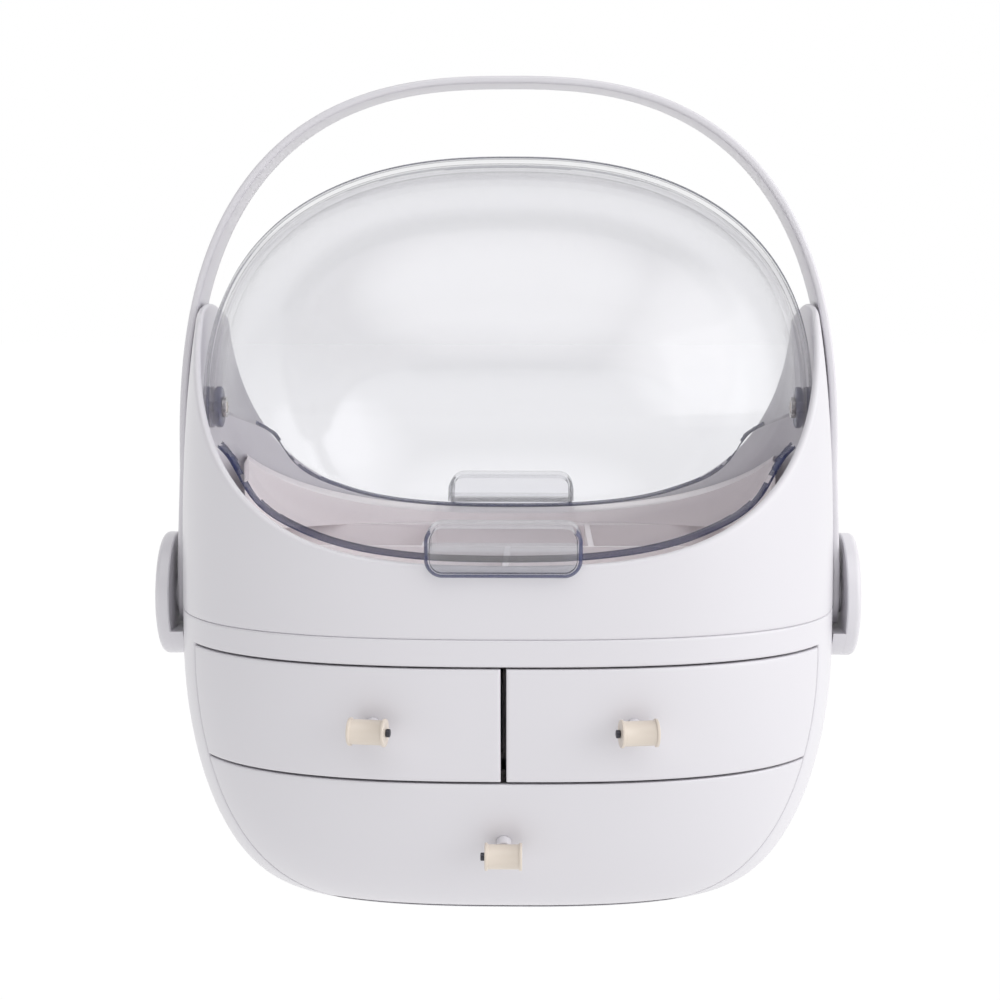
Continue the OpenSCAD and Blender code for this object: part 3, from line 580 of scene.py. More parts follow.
class ORGANIZER_OT_upper_shell(Build, bpy.types.Operator):
    """Upper shell with its curved rim and side ears"""
    bl_idname = "organizer.upper_shell"
    bl_label = "Upper shell"

    def build(self):
        r, wall, seam = mm("edge_round"), mm("wall"), mm("seam_height")
        lip = wall / 2
        t = np.linspace(0, 2 * np.pi, 360, endpoint=False)
        # the rim's height follows from the depth there, and that from the height
        top = np.full_like(t, 150.0)
        for _ in range(40):
            top = rim_at(half_depth(top) * signed(np.sin(t), 2 / PLAN))
        here = on_case(t, top)
        step = np.linalg.norm((np.roll(here, -1, 0) - np.roll(here, 1, 0))[:, :2], axis=1)
        slope = (np.roll(top, -1) - np.roll(top, 1)) / step
        stretch = np.sqrt(1 + slope ** 2)
        rows = [np.full_like(t, seam + d) for d in STEPS * r]
        low = rows[-1]
        high = top - lip * stretch
        rows += [low + (high - low) * k / 28 for k in range(1, 28)]
        rows += [top - d * lip * stretch for d in STEPS[::-1]]
        z = np.stack(rows)
        tt = t[None, :] + 0 * z
        fall = np.maximum(rolled(z - seam, r), rolled((top - z) / stretch, lip))
        back = wall - rolled((top - z) / stretch, lip)
        o = shell("upper_shell_wall", on_case(tt, z, fall), on_case(tt, z, back), wrap=True)
        finish(o, "case", "white_shell", material("case"), "upper_shell")


# --- drawer fronts, in millimetres ---
SIDE_GAP = 0.6          # gap between a drawer front and the side wall
LOWER_FRONT_SILL = 3.2  # lower edge of the lower drawer's front
UPPER_KNOB = (50, 85.5)  # place across and height of the knobs
LOWER_KNOB = (0, 37.5)


def front_patch(name, z0, z1, left, right):
    """Drawer front from z0 to z1; it ends at the side wall on the left or right if they say so."""
    r, y, wall = mm("edge_round"), mm("front_plane") + SIDE_GAP, mm("wall")
    gap = mm("middle_gap") / 2
    z = clustered(z0, z1, 40, r)
    w = width_at(y, z)
    x0 = -w if left else np.full_like(z, gap)
    x1 = w if right else np.full_like(z, -gap)
    share = np.linspace(0, 1, 121)
    if left and right:  # closer steps at both ends, where the plan curves most
        share = 0.5 - 0.5 * np.cos(np.pi * share)
    x = x0[:, None] + (x1 - x0)[:, None] * share
    extra = STEPS[1:] * r * 0.7
    lo, hi = x0[:, None] + extra, x1[:, None] - extra[::-1]
    x = np.sort(np.concatenate([x, lo, hi], 1), 1)
    zz = z[:, None] + 0 * x
    yy = -np.maximum(y, depth_at(x, zz))
    p = np.stack([x, yy, zz], -1)
    seg = np.linalg.norm(np.diff(p, axis=1), axis=2)
    s = np.concatenate([np.zeros((len(z), 1)), np.cumsum(seg, 1)], 1)
    d = np.minimum(np.minimum(s, s[:, -1:] - s), np.minimum(zz - z0, z1 - zz))
    fall = rolled(d, r)
    # the rounding goes inwards, square to the surface
    gx = np.gradient(yy, axis=1) / np.gradient(x, axis=1)
    gz = np.gradient(yy, axis=0) / np.gradient(zz, axis=0)
    nrm = np.stack([gx, -np.ones_like(gx), gz], -1)
    nrm /= np.linalg.norm(nrm, axis=2, keepdims=True)
    outer = p - nrm * fall[..., None]
    outer[..., 0] = np.clip(outer[..., 0], x0[:, None], x1[:, None])
    outer[..., 2] = np.clip(outer[..., 2], z0, z1)
    side = width_at(y, zz, wall)
    xi = np.clip(x, -side if left else gap, side if right else -gap)
    yi = -np.maximum(y, depth_at(xi, zz, wall))
    inner = np.stack([xi, yi, zz], -1)
    return shell(name, outer, inner)


def on_front(x, z):
    """Matrix, in millimetres, of the place on the front at x, z, with +Z out of the surface."""
    turn = math.atan(float(depth_at(x - 0.5, z) - depth_at(x + 0.5, z)))
    lean = math.atan(float(depth_at(x, z + 0.5) - depth_at(x, z - 0.5)))
    m = Matrix.Translation((x, -float(depth_at(x, z)), z))
    return m @ Matrix.Rotation(turn, 4, "Z") @ Matrix.Rotation(math.pi / 2 + lean, 4, "X")


def knob(prefix, body, x, z, side):
    """A spool across the front on a short spacer, with a steel pin that ends on the given side."""
    m = on_front(x, z)
    up = mm("knob_standoff") + mm("knob_lip") / 2
    reach = mm("knob_standoff") + (mm("knob_lip") - mm("knob_diameter")) / 2 - 0.1
    bar = spool(mm("knob_length"), mm("knob_diameter") / 2, mm("knob_lip") / 2, 1.0, 0.4)
    spacer = [(0.15, 1.6), (0.15, 2.8), (0.35, 3), (reach - 0.2, 3), (reach, 2.8), (reach, 1.6), (1, 1.6)]
    head = [(-0.8, POLE), (-0.8, 1.3), (-0.6, 1.6), (0.6, 1.6), (0.8, 1.3), (0.8, POLE)]
    end = side * (mm("knob_length") / 2 + 0.85)
    for part, node, profile, count, axis, centre, slot, look in (
        ("spool", "knob", bar, 72, "X", (0, 0, up), "beige_plastic", "knob"),
        ("standoff", "knob_spacer", spacer, 48, "Z", (0, 0, 0), "white_shell", "case"),
        ("pin_head", "knob_pin", head, 40, "X", (end, 0, up), "metal", "pin"),
    ):
        o = placed(turned(f"{prefix}_knob_{part}", profile, count, axis, centre), m)
        finish(o, body, slot, material(look), f"{prefix}_{node}")


class ORGANIZER_OT_upper_drawers(Build, bpy.types.Operator):
    """The two upper drawer fronts with their knobs"""
    bl_idname = "organizer.upper_drawers"
    bl_label = "Upper drawers"

    def build(self):
        z0 = mm("drawer_joint") + mm("front_gap") / 2
        z1 = mm("opening_top") - mm("front_gap")
        x, z = UPPER_KNOB
        for which, side in (("upper_left", -1), ("upper_right", 1)):
            body = which + "_drawer"
            o = front_patch(body + "_panel", z0, z1, side < 0, side > 0)
            finish(o, body, "white_shell", material("case"), body + "_front")
            knob(which, body, side * x, z, -side)


class ORGANIZER_OT_lower_drawer(Build, bpy.types.Operator):
    """The lower drawer front with its knob"""
    bl_idname = "organizer.lower_drawer"
    bl_label = "Lower drawer"

    def build(self):
        top = mm("drawer_joint") - mm("front_gap") / 2
        o = front_patch("lower_drawer_panel", LOWER_FRONT_SILL, top, True, True)
        finish(o, "lower_drawer", "white_shell", material("case"), "lower_drawer_front")
        knob("lower", "lower_drawer", *LOWER_KNOB, -1)


# --- covers, in millimetres; angles in degrees from the top down ---
COVER = 2.4           # squareness of the covers seen from the front
SWEEP = 121.2         # where a cover's lower edge lies at the middle
COVER_BACK = -3.0     # where its upper edge lies, a little past the top
CUT_ROUND = 1.3       # rounding of the cut edges
BEAD_WIDTH = 4.2      # width of the thicker band along the edges
FRONT_BEAD = 1.4      # how far that band stands out
REAR_BEAD = 0.6
SKIN_START = 6        # radius at which the skin ends inside a hinge eye
TAB_REACH = 3.4       # how far a tab stands out from the case
TAB_HANG = 4.2        # how far it hangs below the rim
TAB_RISE = 4.1        # height above the rim of what lies behind its front plate
TAB_WALL = 1.9


def dome(x, big, wide):
    """Radius of a cover's skin about the covers' axis, at x."""
    return big * (1 - np.minimum(1, np.abs(x) / wide) ** COVER) ** (1 / COVER)


def lower_edge(x):
    """Angle of a cover's lower edge, less towards the sides."""
    return np.interp(np.abs(x), [0, 33, 57, 71, 82, 92, 100, 105.6, 107.6, 111.5, 115, 129],
                     [SWEEP, SWEEP, 121, 120.5, 119.5, 118.5, 116, 111, 106.5, 104.5, 103, 101])


def cover_mesh(name, big, wide, bead, mirrored):
    """A cover's skin: columns across the case, and rows from the upper to the lower edge."""
    thick = mm("cover_thickness")
    t0 = math.asin((SKIN_START / big) ** (COVER / 2))
    t = np.linspace(t0, np.pi - t0, 128)
    x = wide * signed(np.cos(t), 2 / COVER)
    # the lower edge, evened over five columns
    end = np.convolve(np.pad(lower_edge(x), 2, mode="edge"), np.ones(5) / 5, "valid")
    rows = np.concatenate([STEPS * CUT_ROUND, np.linspace(1.8, BEAD_WIDTH, 5)])
    start = COVER_BACK
    per = 180 / np.pi / big
    upper, lower = start + BEAD_WIDTH * per, end - BEAD_WIDTH * per
    a = np.concatenate([start + rows[:, None] * per + 0 * end[None],
                        upper + (lower - upper)[None] * (np.arange(1, 90) / 90)[:, None],
                        end[None] - rows[::-1, None] * per])
    d = np.minimum(a - start, end[None] - a) / per
    # bead along both edges, then the rounding of the cut edge
    swell = bead * np.clip(1 - (d / BEAD_WIDTH) ** 2, 0, 1) ** 0.5
    r0 = big * signed(np.sin(t), 2 / COVER)[None]
    scale = 1 + (swell - rolled(d, CUT_ROUND)) / big
    back = 1 - thick / big + rolled(d, CUT_ROUND / 2) / big

    def at(s):
        y = -r0 * s * np.sin(np.radians(a))
        z = r0 * s * np.cos(np.radians(a)) + mm("axis_height")
        return np.stack([x[None] * (1 + (s - 1) * 0.9) + 0 * a, -y if mirrored else y, z], -1)

    o = shell(name, at(scale), at(back))
    mark_painted_edge_shade(o, big, start, mirrored)
    return o


def set_clear(o):
    """Gives a mesh the two looks of the clear plastic; index 1 is that of its edges, with their painted dark
    shade.
    """
    o.data.materials.append(material("cover"))
    o.data.materials.append(material("edge"))


def mark_painted_edge_shade(o, big, start, mirrored):
    """Gives the cut edges of a cover painted shade: the darker look that clear plastic has edge on, as an
    opaque dark blue.
    """
    set_clear(o)
    for f in o.data.polygons:
        c = f.center * 1000
        y, z = (c.y if mirrored else -c.y), c.z - mm("axis_height")
        ang = math.degrees(math.atan2(y, z))
        if ang < -90:
            ang += 360
        r = math.hypot(y, z)
        low = math.radians(float(lower_edge(c.x)) - ang) * r
        high = math.radians(ang - start) * big
        # the painted shade of the upper edge lies only at its outer corner
        outer = r > dome(c.x, big, mm("cover_half_width")) - 0.6
        f.material_index = int((low < 1.3 and abs(c.x) < 116) or (high < 1.2 and outer))


def tab_mesh(name, big, mirrored):
    """Hollow pull tab: a rounded block that hangs a little over the rim."""
    w, h = mm("tab_width") / 2, mm("tab_height") / 2
    rim, axis, wide = mm("rim_height"), mm("axis_height"), mm("cover_half_width")
    low = rim - TAB_HANG
    front = mm("case_half_depth") + TAB_REACH
    count = 160

    def outline(inset):
        """Rectangle with round corners of 7 mm, set in."""
        a = np.linspace(0, 2 * np.pi, count, endpoint=False)
        r = 7 - inset
        across = np.clip(np.cos(a) * 60, -1, 1) * (w - inset - r) + r * np.cos(a)
        up = np.clip(np.sin(a) * 60, -1, 1) * (h - inset - r) + r * np.sin(a)
        return across, up + low + h

    # rounded front edge: depth behind the front face, and how far the outline is set in there
    rings = []
    for d, inset in ((0.0, 2.2), (0.12, 1.5), (0.5, 0.8), (1.2, 0.25), (2.2, 0.0)):
        px, pz = outline(inset)
        rings.append(np.stack([px, np.full(count, front - d), pz], -1))
    # then back to the cover
    reach = np.sqrt(np.maximum(0, (dome(px, big, wide) - 0.9) ** 2 - (pz - axis) ** 2))
    for k in np.linspace(0, 1, 9)[1:]:
        y = (front - 2.2) + (np.maximum(reach, 60) - (front - 2.2)) * k
        rings.append(np.stack([px, y, np.maximum(pz, low)], -1))
    outer = np.stack(rings)
    # what lies behind the front plate clears the rim
    over = outer[..., 1] < front - 2.7
    outer[..., 2] = np.where(over, np.maximum(outer[..., 2], rim + TAB_RISE), outer[..., 2])
    if not mirrored:
        outer[..., 1] *= -1
    open_back = tube(len(rings), count)[:-1]
    o = mesh_object(name, outer.reshape(-1, 3), open_back)
    set_clear(o)
    # painted shade: the tab's rounded front edge, at its bottom and sides, gets the dark blue edge look
    for f in o.data.polygons:
        c = f.center * 1000
        corner = 0.3 < front - abs(c.y) < 2.2
        f.material_index = int(corner and (c.z < low + 4 or abs(c.x) > w - 2.5))
    solid = o.modifiers.new("wall", "SOLIDIFY")
    solid.thickness = TAB_WALL / 1000
    solid.offset = -1
    bpy.context.view_layer.objects.active = o
    bpy.ops.object.modifier_apply(modifier=solid.name)
    smooth_by_angle(o, 40)
    return o


class ORGANIZER_OT_covers(Build, bpy.types.Operator):
    """The clear front and rear covers with their pull tabs and hinge eyes"""
    bl_idname = "organizer.covers"
    bl_label = "Covers"

    def build(self):
        thick, gap = mm("cover_thickness"), mm("cover_gap")
        for which, inset, bead in (("front", 0, FRONT_BEAD), ("rear", thick + gap, REAR_BEAD)):
            big, wide = mm("cover_radius") - inset, mm("cover_half_width") - inset
            rear = which == "rear"
            skin = cover_mesh(which + "_cover_skin", big, wide, bead, rear)
            tab = tab_mesh(which + "_tab", big, rear)
            eye = [(-1.3, 2.6), (-1.3, 8.4), (-0.9, 8.9), (0.9, 8.9), (1.3, 8.4), (1.3, 2.6)]
            eyes = [turned("eye", eye, 64, "X", (s * (wide - 1.2), 0, mm("axis_height"))) for s in (-1, 1)]
            o = join([skin, tab] + eyes, which + "_cover_clear")
            finish(o, which + "_cover", "clear_cover", [material("cover"), material("edge")],
                   which + "_cover")


# --- handle, in millimetres ---
ARCH = 2.6            # squareness of the arch
LEAN = 1.8            # how far the arms lean in between the discs and the arch
STRAP_EDGE = 1.2      # rounding of the strap's edges


class ORGANIZER_OT_handle(Build, bpy.types.Operator):
    """The carrying handle: one strap bent over the case"""
    bl_idname = "organizer.handle"
    bl_label = "Handle"

    def build(self):
        inside = mm("case_half_width") + mm("strap_gap")
        thick, half = mm("strap_thickness"), mm("strap_width") / 2
        start, top, axis = mm("arch_start"), mm("handle_top"), mm("handle_axis")
        t = np.linspace(0, np.pi, 161)
        arm = axis - half + np.concatenate([half * (1 - np.cos(np.linspace(0, np.pi / 2, 14))),
                                            np.linspace(half, start - axis + half, 24)[1:-1]])

        def line(a, h):
            """Up the right arm, over the arch and down the left arm, as x and z."""
            right = np.stack([a + LEAN * np.clip((start - arm) / (start - axis - half), 0, 1), arm], -1)
            rise = h * np.abs(np.sin(t)) ** (2 / ARCH)
            arch = np.stack([a * signed(np.cos(t), 2 / ARCH), start + rise], -1)
            return np.concatenate([right, arch, right[::-1] * [-1, 1]])

        out = line(inside + thick - LEAN, top - start)
        inn = line(inside - LEAN, top - thick - start)
        half_here = np.full(len(out), half)
        low = out[:, 1] < axis
        half_here[low] = np.sqrt(np.maximum(0.01, half ** 2 - (axis - out[low, 1]) ** 2))
        # section: across the strap (v) and through its thickness (w), with rounded edges
        r = STRAP_EDGE
        arc = np.linspace(0, np.pi / 2, 6)
        section = [(half - r + r * np.cos(q), 1 - (r - r * np.sin(q)) / thick) for q in arc]
        section += [(-v, w) for v, w in reversed(section)]
        section += [(v, 1 - w) for v, w in reversed(section)]
        v = np.array([p[0] for p in section])
        w = np.array([p[1] for p in section])
        scale = (half_here / half)[:, None]
        mid = inn[:, None] + (out - inn)[:, None] * w[None, :, None]
        points = np.stack([mid[..., 0], v[None] * scale + 0 * mid[..., 0], mid[..., 1]], -1)
        o = mesh_object("handle_strap", points.reshape(-1, 3), tube(len(out), len(section)))
        finish(o, "handle", "white_shell", material("case"), "handle")


# --- side discs, in millimetres ---
DISC_EDGE = 2.4       # rounding of a disc's outer edge
STUD_RADIUS = 4.95    # stud that the handle turns on
STUD_LENGTH = 8
SHOULDER_RADIUS = 8
SKIRT_GAP = 0.8       # gap between the upright strap and the skirt under it
PAD = 0.05            # gap between pieces that touch


class ORGANIZER_OT_side_discs(Build, bpy.types.Operator):
    """The discs that the handle turns on and the caps of the cover pins"""
    bl_idname = "organizer.side_discs"
    bl_label = "Side discs and pins"

    def build(self):
        for name, side in (("left", -1), ("right", 1)):
            o = self.on_side(side, self.disc_parts(), name + "_side_disc")
            finish(o, "case", "white_shell", material("case"), name + "_handle_disc")
        pins = [self.on_side(side, self.pin_parts(), "one_pin") for side in (-1, 1)]
        finish(join(pins, "cover_pin_caps"), "case", "beige_plastic", material("knob"), "cover_pins")

    def on_side(self, side, parts, name):
        """Parts made for the right side, joined, and mirrored if they go on the left."""
        o = join(parts, name)
        return o if side > 0 else placed(o, Matrix.Scale(-1, 4, (1, 0, 0)))

    def disc_parts(self):
        axis, r, thick = mm("handle_axis"), mm("disc_diameter") / 2, mm("disc_thickness")
        case = mm("case_half_width")
        inside = case + mm("strap_gap") + mm("strap_thickness") + mm("disc_gap")
        e = DISC_EDGE
        edge = [(thick - e + e * math.sin(q), r - e + e * math.cos(q))
                for q in np.linspace(0, math.pi / 2, 9)]
        # skirt below, from the disc in to the case
        q0 = math.asin((mm("strap_width") / 2 + SKIRT_GAP) / r)
        q = np.linspace(math.pi + q0, 2 * math.pi - q0, 40)
        arc = np.stack([0 * q, np.cos(q) * (r - PAD), axis + np.sin(q) * (r - PAD)], -1)
        skirt = np.concatenate([arc + [case + PAD, 0, 0], arc + [inside + 1, 0, 0]])
        return [
            turned("disc", [(0, POLE), (0, r - 0.5), (0.5, r)] + edge + [(thick, POLE)], 128, "X",
                   (inside, 0, axis)),
            turned("shoulder", [(0, POLE), (0, SHOULDER_RADIUS), (2, SHOULDER_RADIUS), (2, POLE)], 64, "X",
                   (inside - mm("disc_gap") + 0.3, 0, axis)),
            turned("stud", [(0, POLE), (0, STUD_RADIUS), (STUD_LENGTH, STUD_RADIUS), (STUD_LENGTH, POLE)], 48,
                   "X", (case + PAD, 0, axis)),
            mesh_object("skirt", skirt, tube(2, len(arc))),
        ]

    def pin_parts(self):
        axis = mm("axis_height")
        ear = float(half_width(np.array(axis)))
        cap = [(0, POLE), (0, 5), (0.6, 4.9), (1.1, 4.6), (1.45, 3.8), (1.5, POLE)]
        shaft = [(-14, POLE), (-14, 2.2), (-13.7, 2.5), (0.5, 2.5), (0.5, POLE)]
        return [turned("cap", cap, 64, "X", (ear + 0.6, 0, axis)),
                turned("pin", shaft, 40, "X", (ear, 0, axis))]


# --- ledges, in millimetres ---
LEDGE_MARGIN = 11.5   # how much narrower the ledges are than the covers
LEDGE_THICKNESS = 2
LEDGE_GAP = 0.7       # gap between a cover and its ledge
TRAY_DROP = 5.5       # how far the inner tray's top lies below the rim


class ORGANIZER_OT_ledges(Build, bpy.types.Operator):
    """The ledges that the covers close on"""
    bl_idname = "organizer.ledges"
    bl_label = "Ledges"

    def build(self):
        half, thick = mm("cover_half_width") - LEDGE_MARGIN, LEDGE_THICKNESS
        tray_top = mm("rim_height") - TRAY_DROP
        sweep, under_edge = math.radians(SWEEP), math.radians(SWEEP + 0.5)
        for which, inset in (("front", 0.0), ("rear", mm("cover_thickness") + mm("cover_gap"))):
            big, wide = mm("cover_radius") - inset, mm("cover_half_width") - inset
            x = half * signed(-np.cos(np.linspace(0, np.pi, 121)), 0.8)
            rad = dome(x, big, wide)
            z = np.maximum(tray_top + 0.2 + thick,
                           mm("axis_height") + (rad + FRONT_BEAD) * math.cos(under_edge) - LEDGE_GAP)
            # inner and outer edge of the ledge, and the foot of its skirt
            inner = np.stack([x, -(rad - 4.2) * math.sin(sweep), z], -1)
            wider = x * 1.035
            outer = np.stack([wider, -depth_at(wider, z, mm("wall") + 0.6), z + 0.3], -1)
            down = np.stack([x, inner[:, 1], np.full_like(x, tray_top + PAD)], -1)
            middle = (outer + inner) / 2
            h = x / half
            out = np.stack([thick * h, -thick * np.sqrt(np.maximum(0, 1 - h * h)), 0 * h], -1)
            drop = np.array([0, 0, thick])
            top = np.stack([outer, middle, inner + out * 0.3, inner - [0, 0, 0.3], down])
            under = np.stack([outer - drop, middle - drop, inner + out - drop, inner + out - drop * 1.1,
                              down + out])
            if which == "rear":
                top, under = top * [1, -1, 1], under * [1, -1, 1]
            piece = shell(which + "_ledge", top, under)
            finish(piece, "case", "white_shell", material("inside"), which + "_cover_seat")


# --- screws, in millimetres ---
DECK_THICKNESS = 2.5
DECK_SCREW = 9.5      # lengths of the shanks
HANDLE_SCREW = 11.5
DRAWER_SCREW = 11
KNOB_BITE = 3.4       # how far a knob's screw goes past the standoff
WASHER = 1.3          # room for a handle screw's washer, inside the wall
TRAY_SETBACK = 1.5    # from the front plane to a drawer tray
TRAY_WALL = 2
SCREW_TIP = 0.7


def screw_tree():
    """Geometry nodes that set a pan-head screw with a cross recess on each point.

    The points carry the way the shank points, "axis", and its length, "reach".
    """
    t = bpy.data.node_groups.new("pan_head_screws", "GeometryNodeTree")
    t.interface.new_socket("Points", in_out="INPUT", socket_type="NodeSocketGeometry")
    for name, value in (("Shank diameter", 0.003), ("Head diameter", 0.006), ("Head height", 0.0018)):
        t.interface.new_socket(name, in_out="INPUT", socket_type="NodeSocketFloat").default_value = value
    t.interface.new_socket("Finish", in_out="INPUT", socket_type="NodeSocketMaterial")
    t.interface.new_socket("Screws", in_out="OUTPUT", socket_type="NodeSocketGeometry")
    given = add(t, "NodeGroupInput").outputs
    half = lambda socket: add(t, "ShaderNodeMath", {1: 0.5}, {0: socket}, operation="MULTIPLY").outputs[0]
    moved = lambda mesh, inputs, links=None: add(
        t, "GeometryNodeTransform", inputs, {"Geometry": mesh, **(links or {})}).outputs[0]
    # head: half of a flattened ball, with the cross cut into its top
    radius = half(given["Head diameter"])
    size = add(t, "ShaderNodeCombineXYZ", links={"X": radius, "Y": radius, "Z": given["Head height"]})
    ball = add(t, "GeometryNodeMeshUVSphere", {"Segments": 32, "Rings": 12, "Radius": 1.0}).outputs["Mesh"]
    ball = moved(ball, {}, {"Scale": size.outputs[0]})
    cube = lambda *xyz: add(t, "GeometryNodeMeshCube", {"Size": xyz}).outputs["Mesh"]
    low = add(t, "ShaderNodeMath", {1: -1.0, 2: -0.0001}, {0: given["Head height"]}, operation="MULTIPLY_ADD")
    place = add(t, "ShaderNodeCombineXYZ", links={"Z": low.outputs[0]}).outputs[0]
    cuts = [moved(cube(0.01, 0.01, 0.01), {"Translation": (0, 0, 0.005)}),
            moved(cube(0.0038, 0.0008, 0.002), {}, {"Translation": place}),
            moved(cube(0.0008, 0.0038, 0.002), {}, {"Translation": place})]
    head = ball
    for cut in cuts:
        tool = add(t, "GeometryNodeMeshBoolean", operation="DIFFERENCE")
        t.links.new(head, tool.inputs["Mesh 1"])
        t.links.new(cut, tool.inputs["Mesh 2"])
        head = tool.outputs["Mesh"]
    # shank of length 1, and a short tip
    shank = add(t, "GeometryNodeMeshCylinder", {"Vertices": 24, "Depth": 1.0},
                {"Radius": half(given["Shank diameter"])}).outputs["Mesh"]
    shank = moved(shank, {"Translation": (0, 0, 0.5)})
    tip = add(t, "GeometryNodeMeshCone", {"Vertices": 24, "Depth": SCREW_TIP / 1000},
              {"Radius Bottom": half(given["Shank diameter"]),
               "Radius Top": half(half(given["Shank diameter"]))}).outputs["Mesh"]
    axis = add(t, "GeometryNodeInputNamedAttribute", {"Name": "axis"}, data_type="FLOAT_VECTOR")
    reach = add(t, "GeometryNodeInputNamedAttribute", {"Name": "reach"}, data_type="FLOAT").outputs[0]
    turn = add(t, "FunctionNodeAlignRotationToVector", links={"Vector": axis.outputs[0]}, axis="Z").outputs[0]
    long = add(t, "ShaderNodeCombineXYZ", {"X": 1.0, "Y": 1.0}, {"Z": reach}).outputs[0]
    far = add(t, "ShaderNodeCombineXYZ", links={"Z": reach}).outputs[0]
    on_points = lambda mesh, **links: add(
        t, "GeometryNodeInstanceOnPoints",
        links={"Points": given["Points"], "Instance": mesh, "Rotation": turn, **links}).outputs[0]
    tips = add(t, "GeometryNodeTranslateInstances", {"Local Space": True},
               {"Instances": on_points(tip), "Translation": far}).outputs[0]
    both = add(t, "GeometryNodeJoinGeometry")
    for part in (on_points(head), on_points(shank, Scale=long), tips):
        t.links.new(part, both.inputs[0])
    real = add(t, "GeometryNodeRealizeInstances", links={0: both.outputs[0]})
    done = add(t, "GeometryNodeSetMaterial", links={"Geometry": real.outputs[0], "Material": given["Finish"]})
    add(t, "NodeGroupOutput", links={"Screws": done.outputs[0]})
    return t


def screws(name, body, tree, places, *nodes):
    """Screws as one mesh; places holds the point under each head, its direction and its length."""
    me = bpy.data.meshes.new(name + "_points")
    me.from_pydata([Vector(p) / 1000 for p, way, reach in places], [], [])
    me.attributes.new("axis", "FLOAT_VECTOR", "POINT")
    me.attributes.new("reach", "FLOAT", "POINT")
    # a new attribute moves the others in memory, so both are looked up again
    ways = [c for p, way, reach in places for c in Vector(way).normalized()]
    me.attributes["axis"].data.foreach_set("vector", ways)
    me.attributes["reach"].data.foreach_set("value", [(reach - SCREW_TIP) / 1000 for p, way, reach in places])
    source = linked(name + "_points", me)
    mod = source.modifiers.new("screws", "NODES")
    mod.node_group = tree
    socket = {i.name: i.identifier for i in tree.interface.items_tree if i.in_out == "INPUT"}
    mod[socket["Shank diameter"]] = mm("screw_diameter") / 1000
    mod[socket["Head diameter"]] = mm("screw_head_diameter") / 1000
    mod[socket["Head height"]] = mm("screw_head_height") / 1000
    mod[socket["Finish"]] = material("steel")
    ready = source.evaluated_get(bpy.context.evaluated_depsgraph_get())
    mesh = bpy.data.meshes.new_from_object(ready)
    if len(mesh.polygons) < 100 * len(places):
        raise RuntimeError(name + ": the screws were not made")
    bpy.data.objects.remove(source)
    tidy_mesh(mesh)
    o = linked(name, mesh)
    smooth_by_angle(o, 35)
    return finish(o, body, "metal", material("steel"), *nodes)


class ORGANIZER_OT_screws(Build, bpy.types.Operator):
    """The screws of the deck, the handle discs and the drawers"""
    bl_idname = "organizer.screws"
    bl_label = "Screws"

    def build(self):
        tree = screw_tree()
        deck = mm("opening_top") + 0.4 + DECK_THICKNESS
        case = [((s * BOSS_X, y, deck), (0, 0, -1), DECK_SCREW) for s in (-1, 1) for y in (-BOSS_Y, BOSS_Y)]
        seat = mm("case_half_width") - mm("wall") - WASHER
        sides = [((s * seat, 0, mm("handle_axis")), (s, 0, 0), HANDLE_SCREW) for s in (-1, 1)]
        screws("case_screws", "case", tree, case + sides, "deck_screws", "handle_screws")
        x, z = UPPER_KNOB
        for which, xs, height, knob_x, knob_z in (("upper_left", (-26, -90), 96, -x, z),
                                                  ("upper_right", (26, 90), 96, x, z),
                                                  ("lower", (-55, 55), 40, *LOWER_KNOB)):
            m = on_front(knob_x, knob_z)
            out = m.to_3x3() @ Vector((0, 0, 1))
            back = mm("front_plane") - TRAY_SETBACK - TRAY_WALL
            places = [((x, -back, height), (0, -1, 0), DRAWER_SCREW) for x in xs]
            head = m @ Vector((0, 0, -mm("wall") - 0.5))
            places.append((head, out, mm("wall") + mm("knob_standoff") + KNOB_BITE))
            screws(which + "_drawer_fixings", which + "_drawer", tree, places, which + "_drawer_screws")


class ORGANIZER_OT_inner_pieces(Build, bpy.types.Operator):
    """Finishes of the pieces that are kept as they are"""
    bl_idname = "organizer.inner_pieces"
    bl_label = "Inner pieces"

    def build(self):
        metal = ("screws", "washers", "clips", "spacer")
        for name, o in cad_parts.items():
            if not o.hide_render:
                o.data.materials.clear()
                o.data.materials.append(material("steel" if name.endswith(metal) else "inside"))


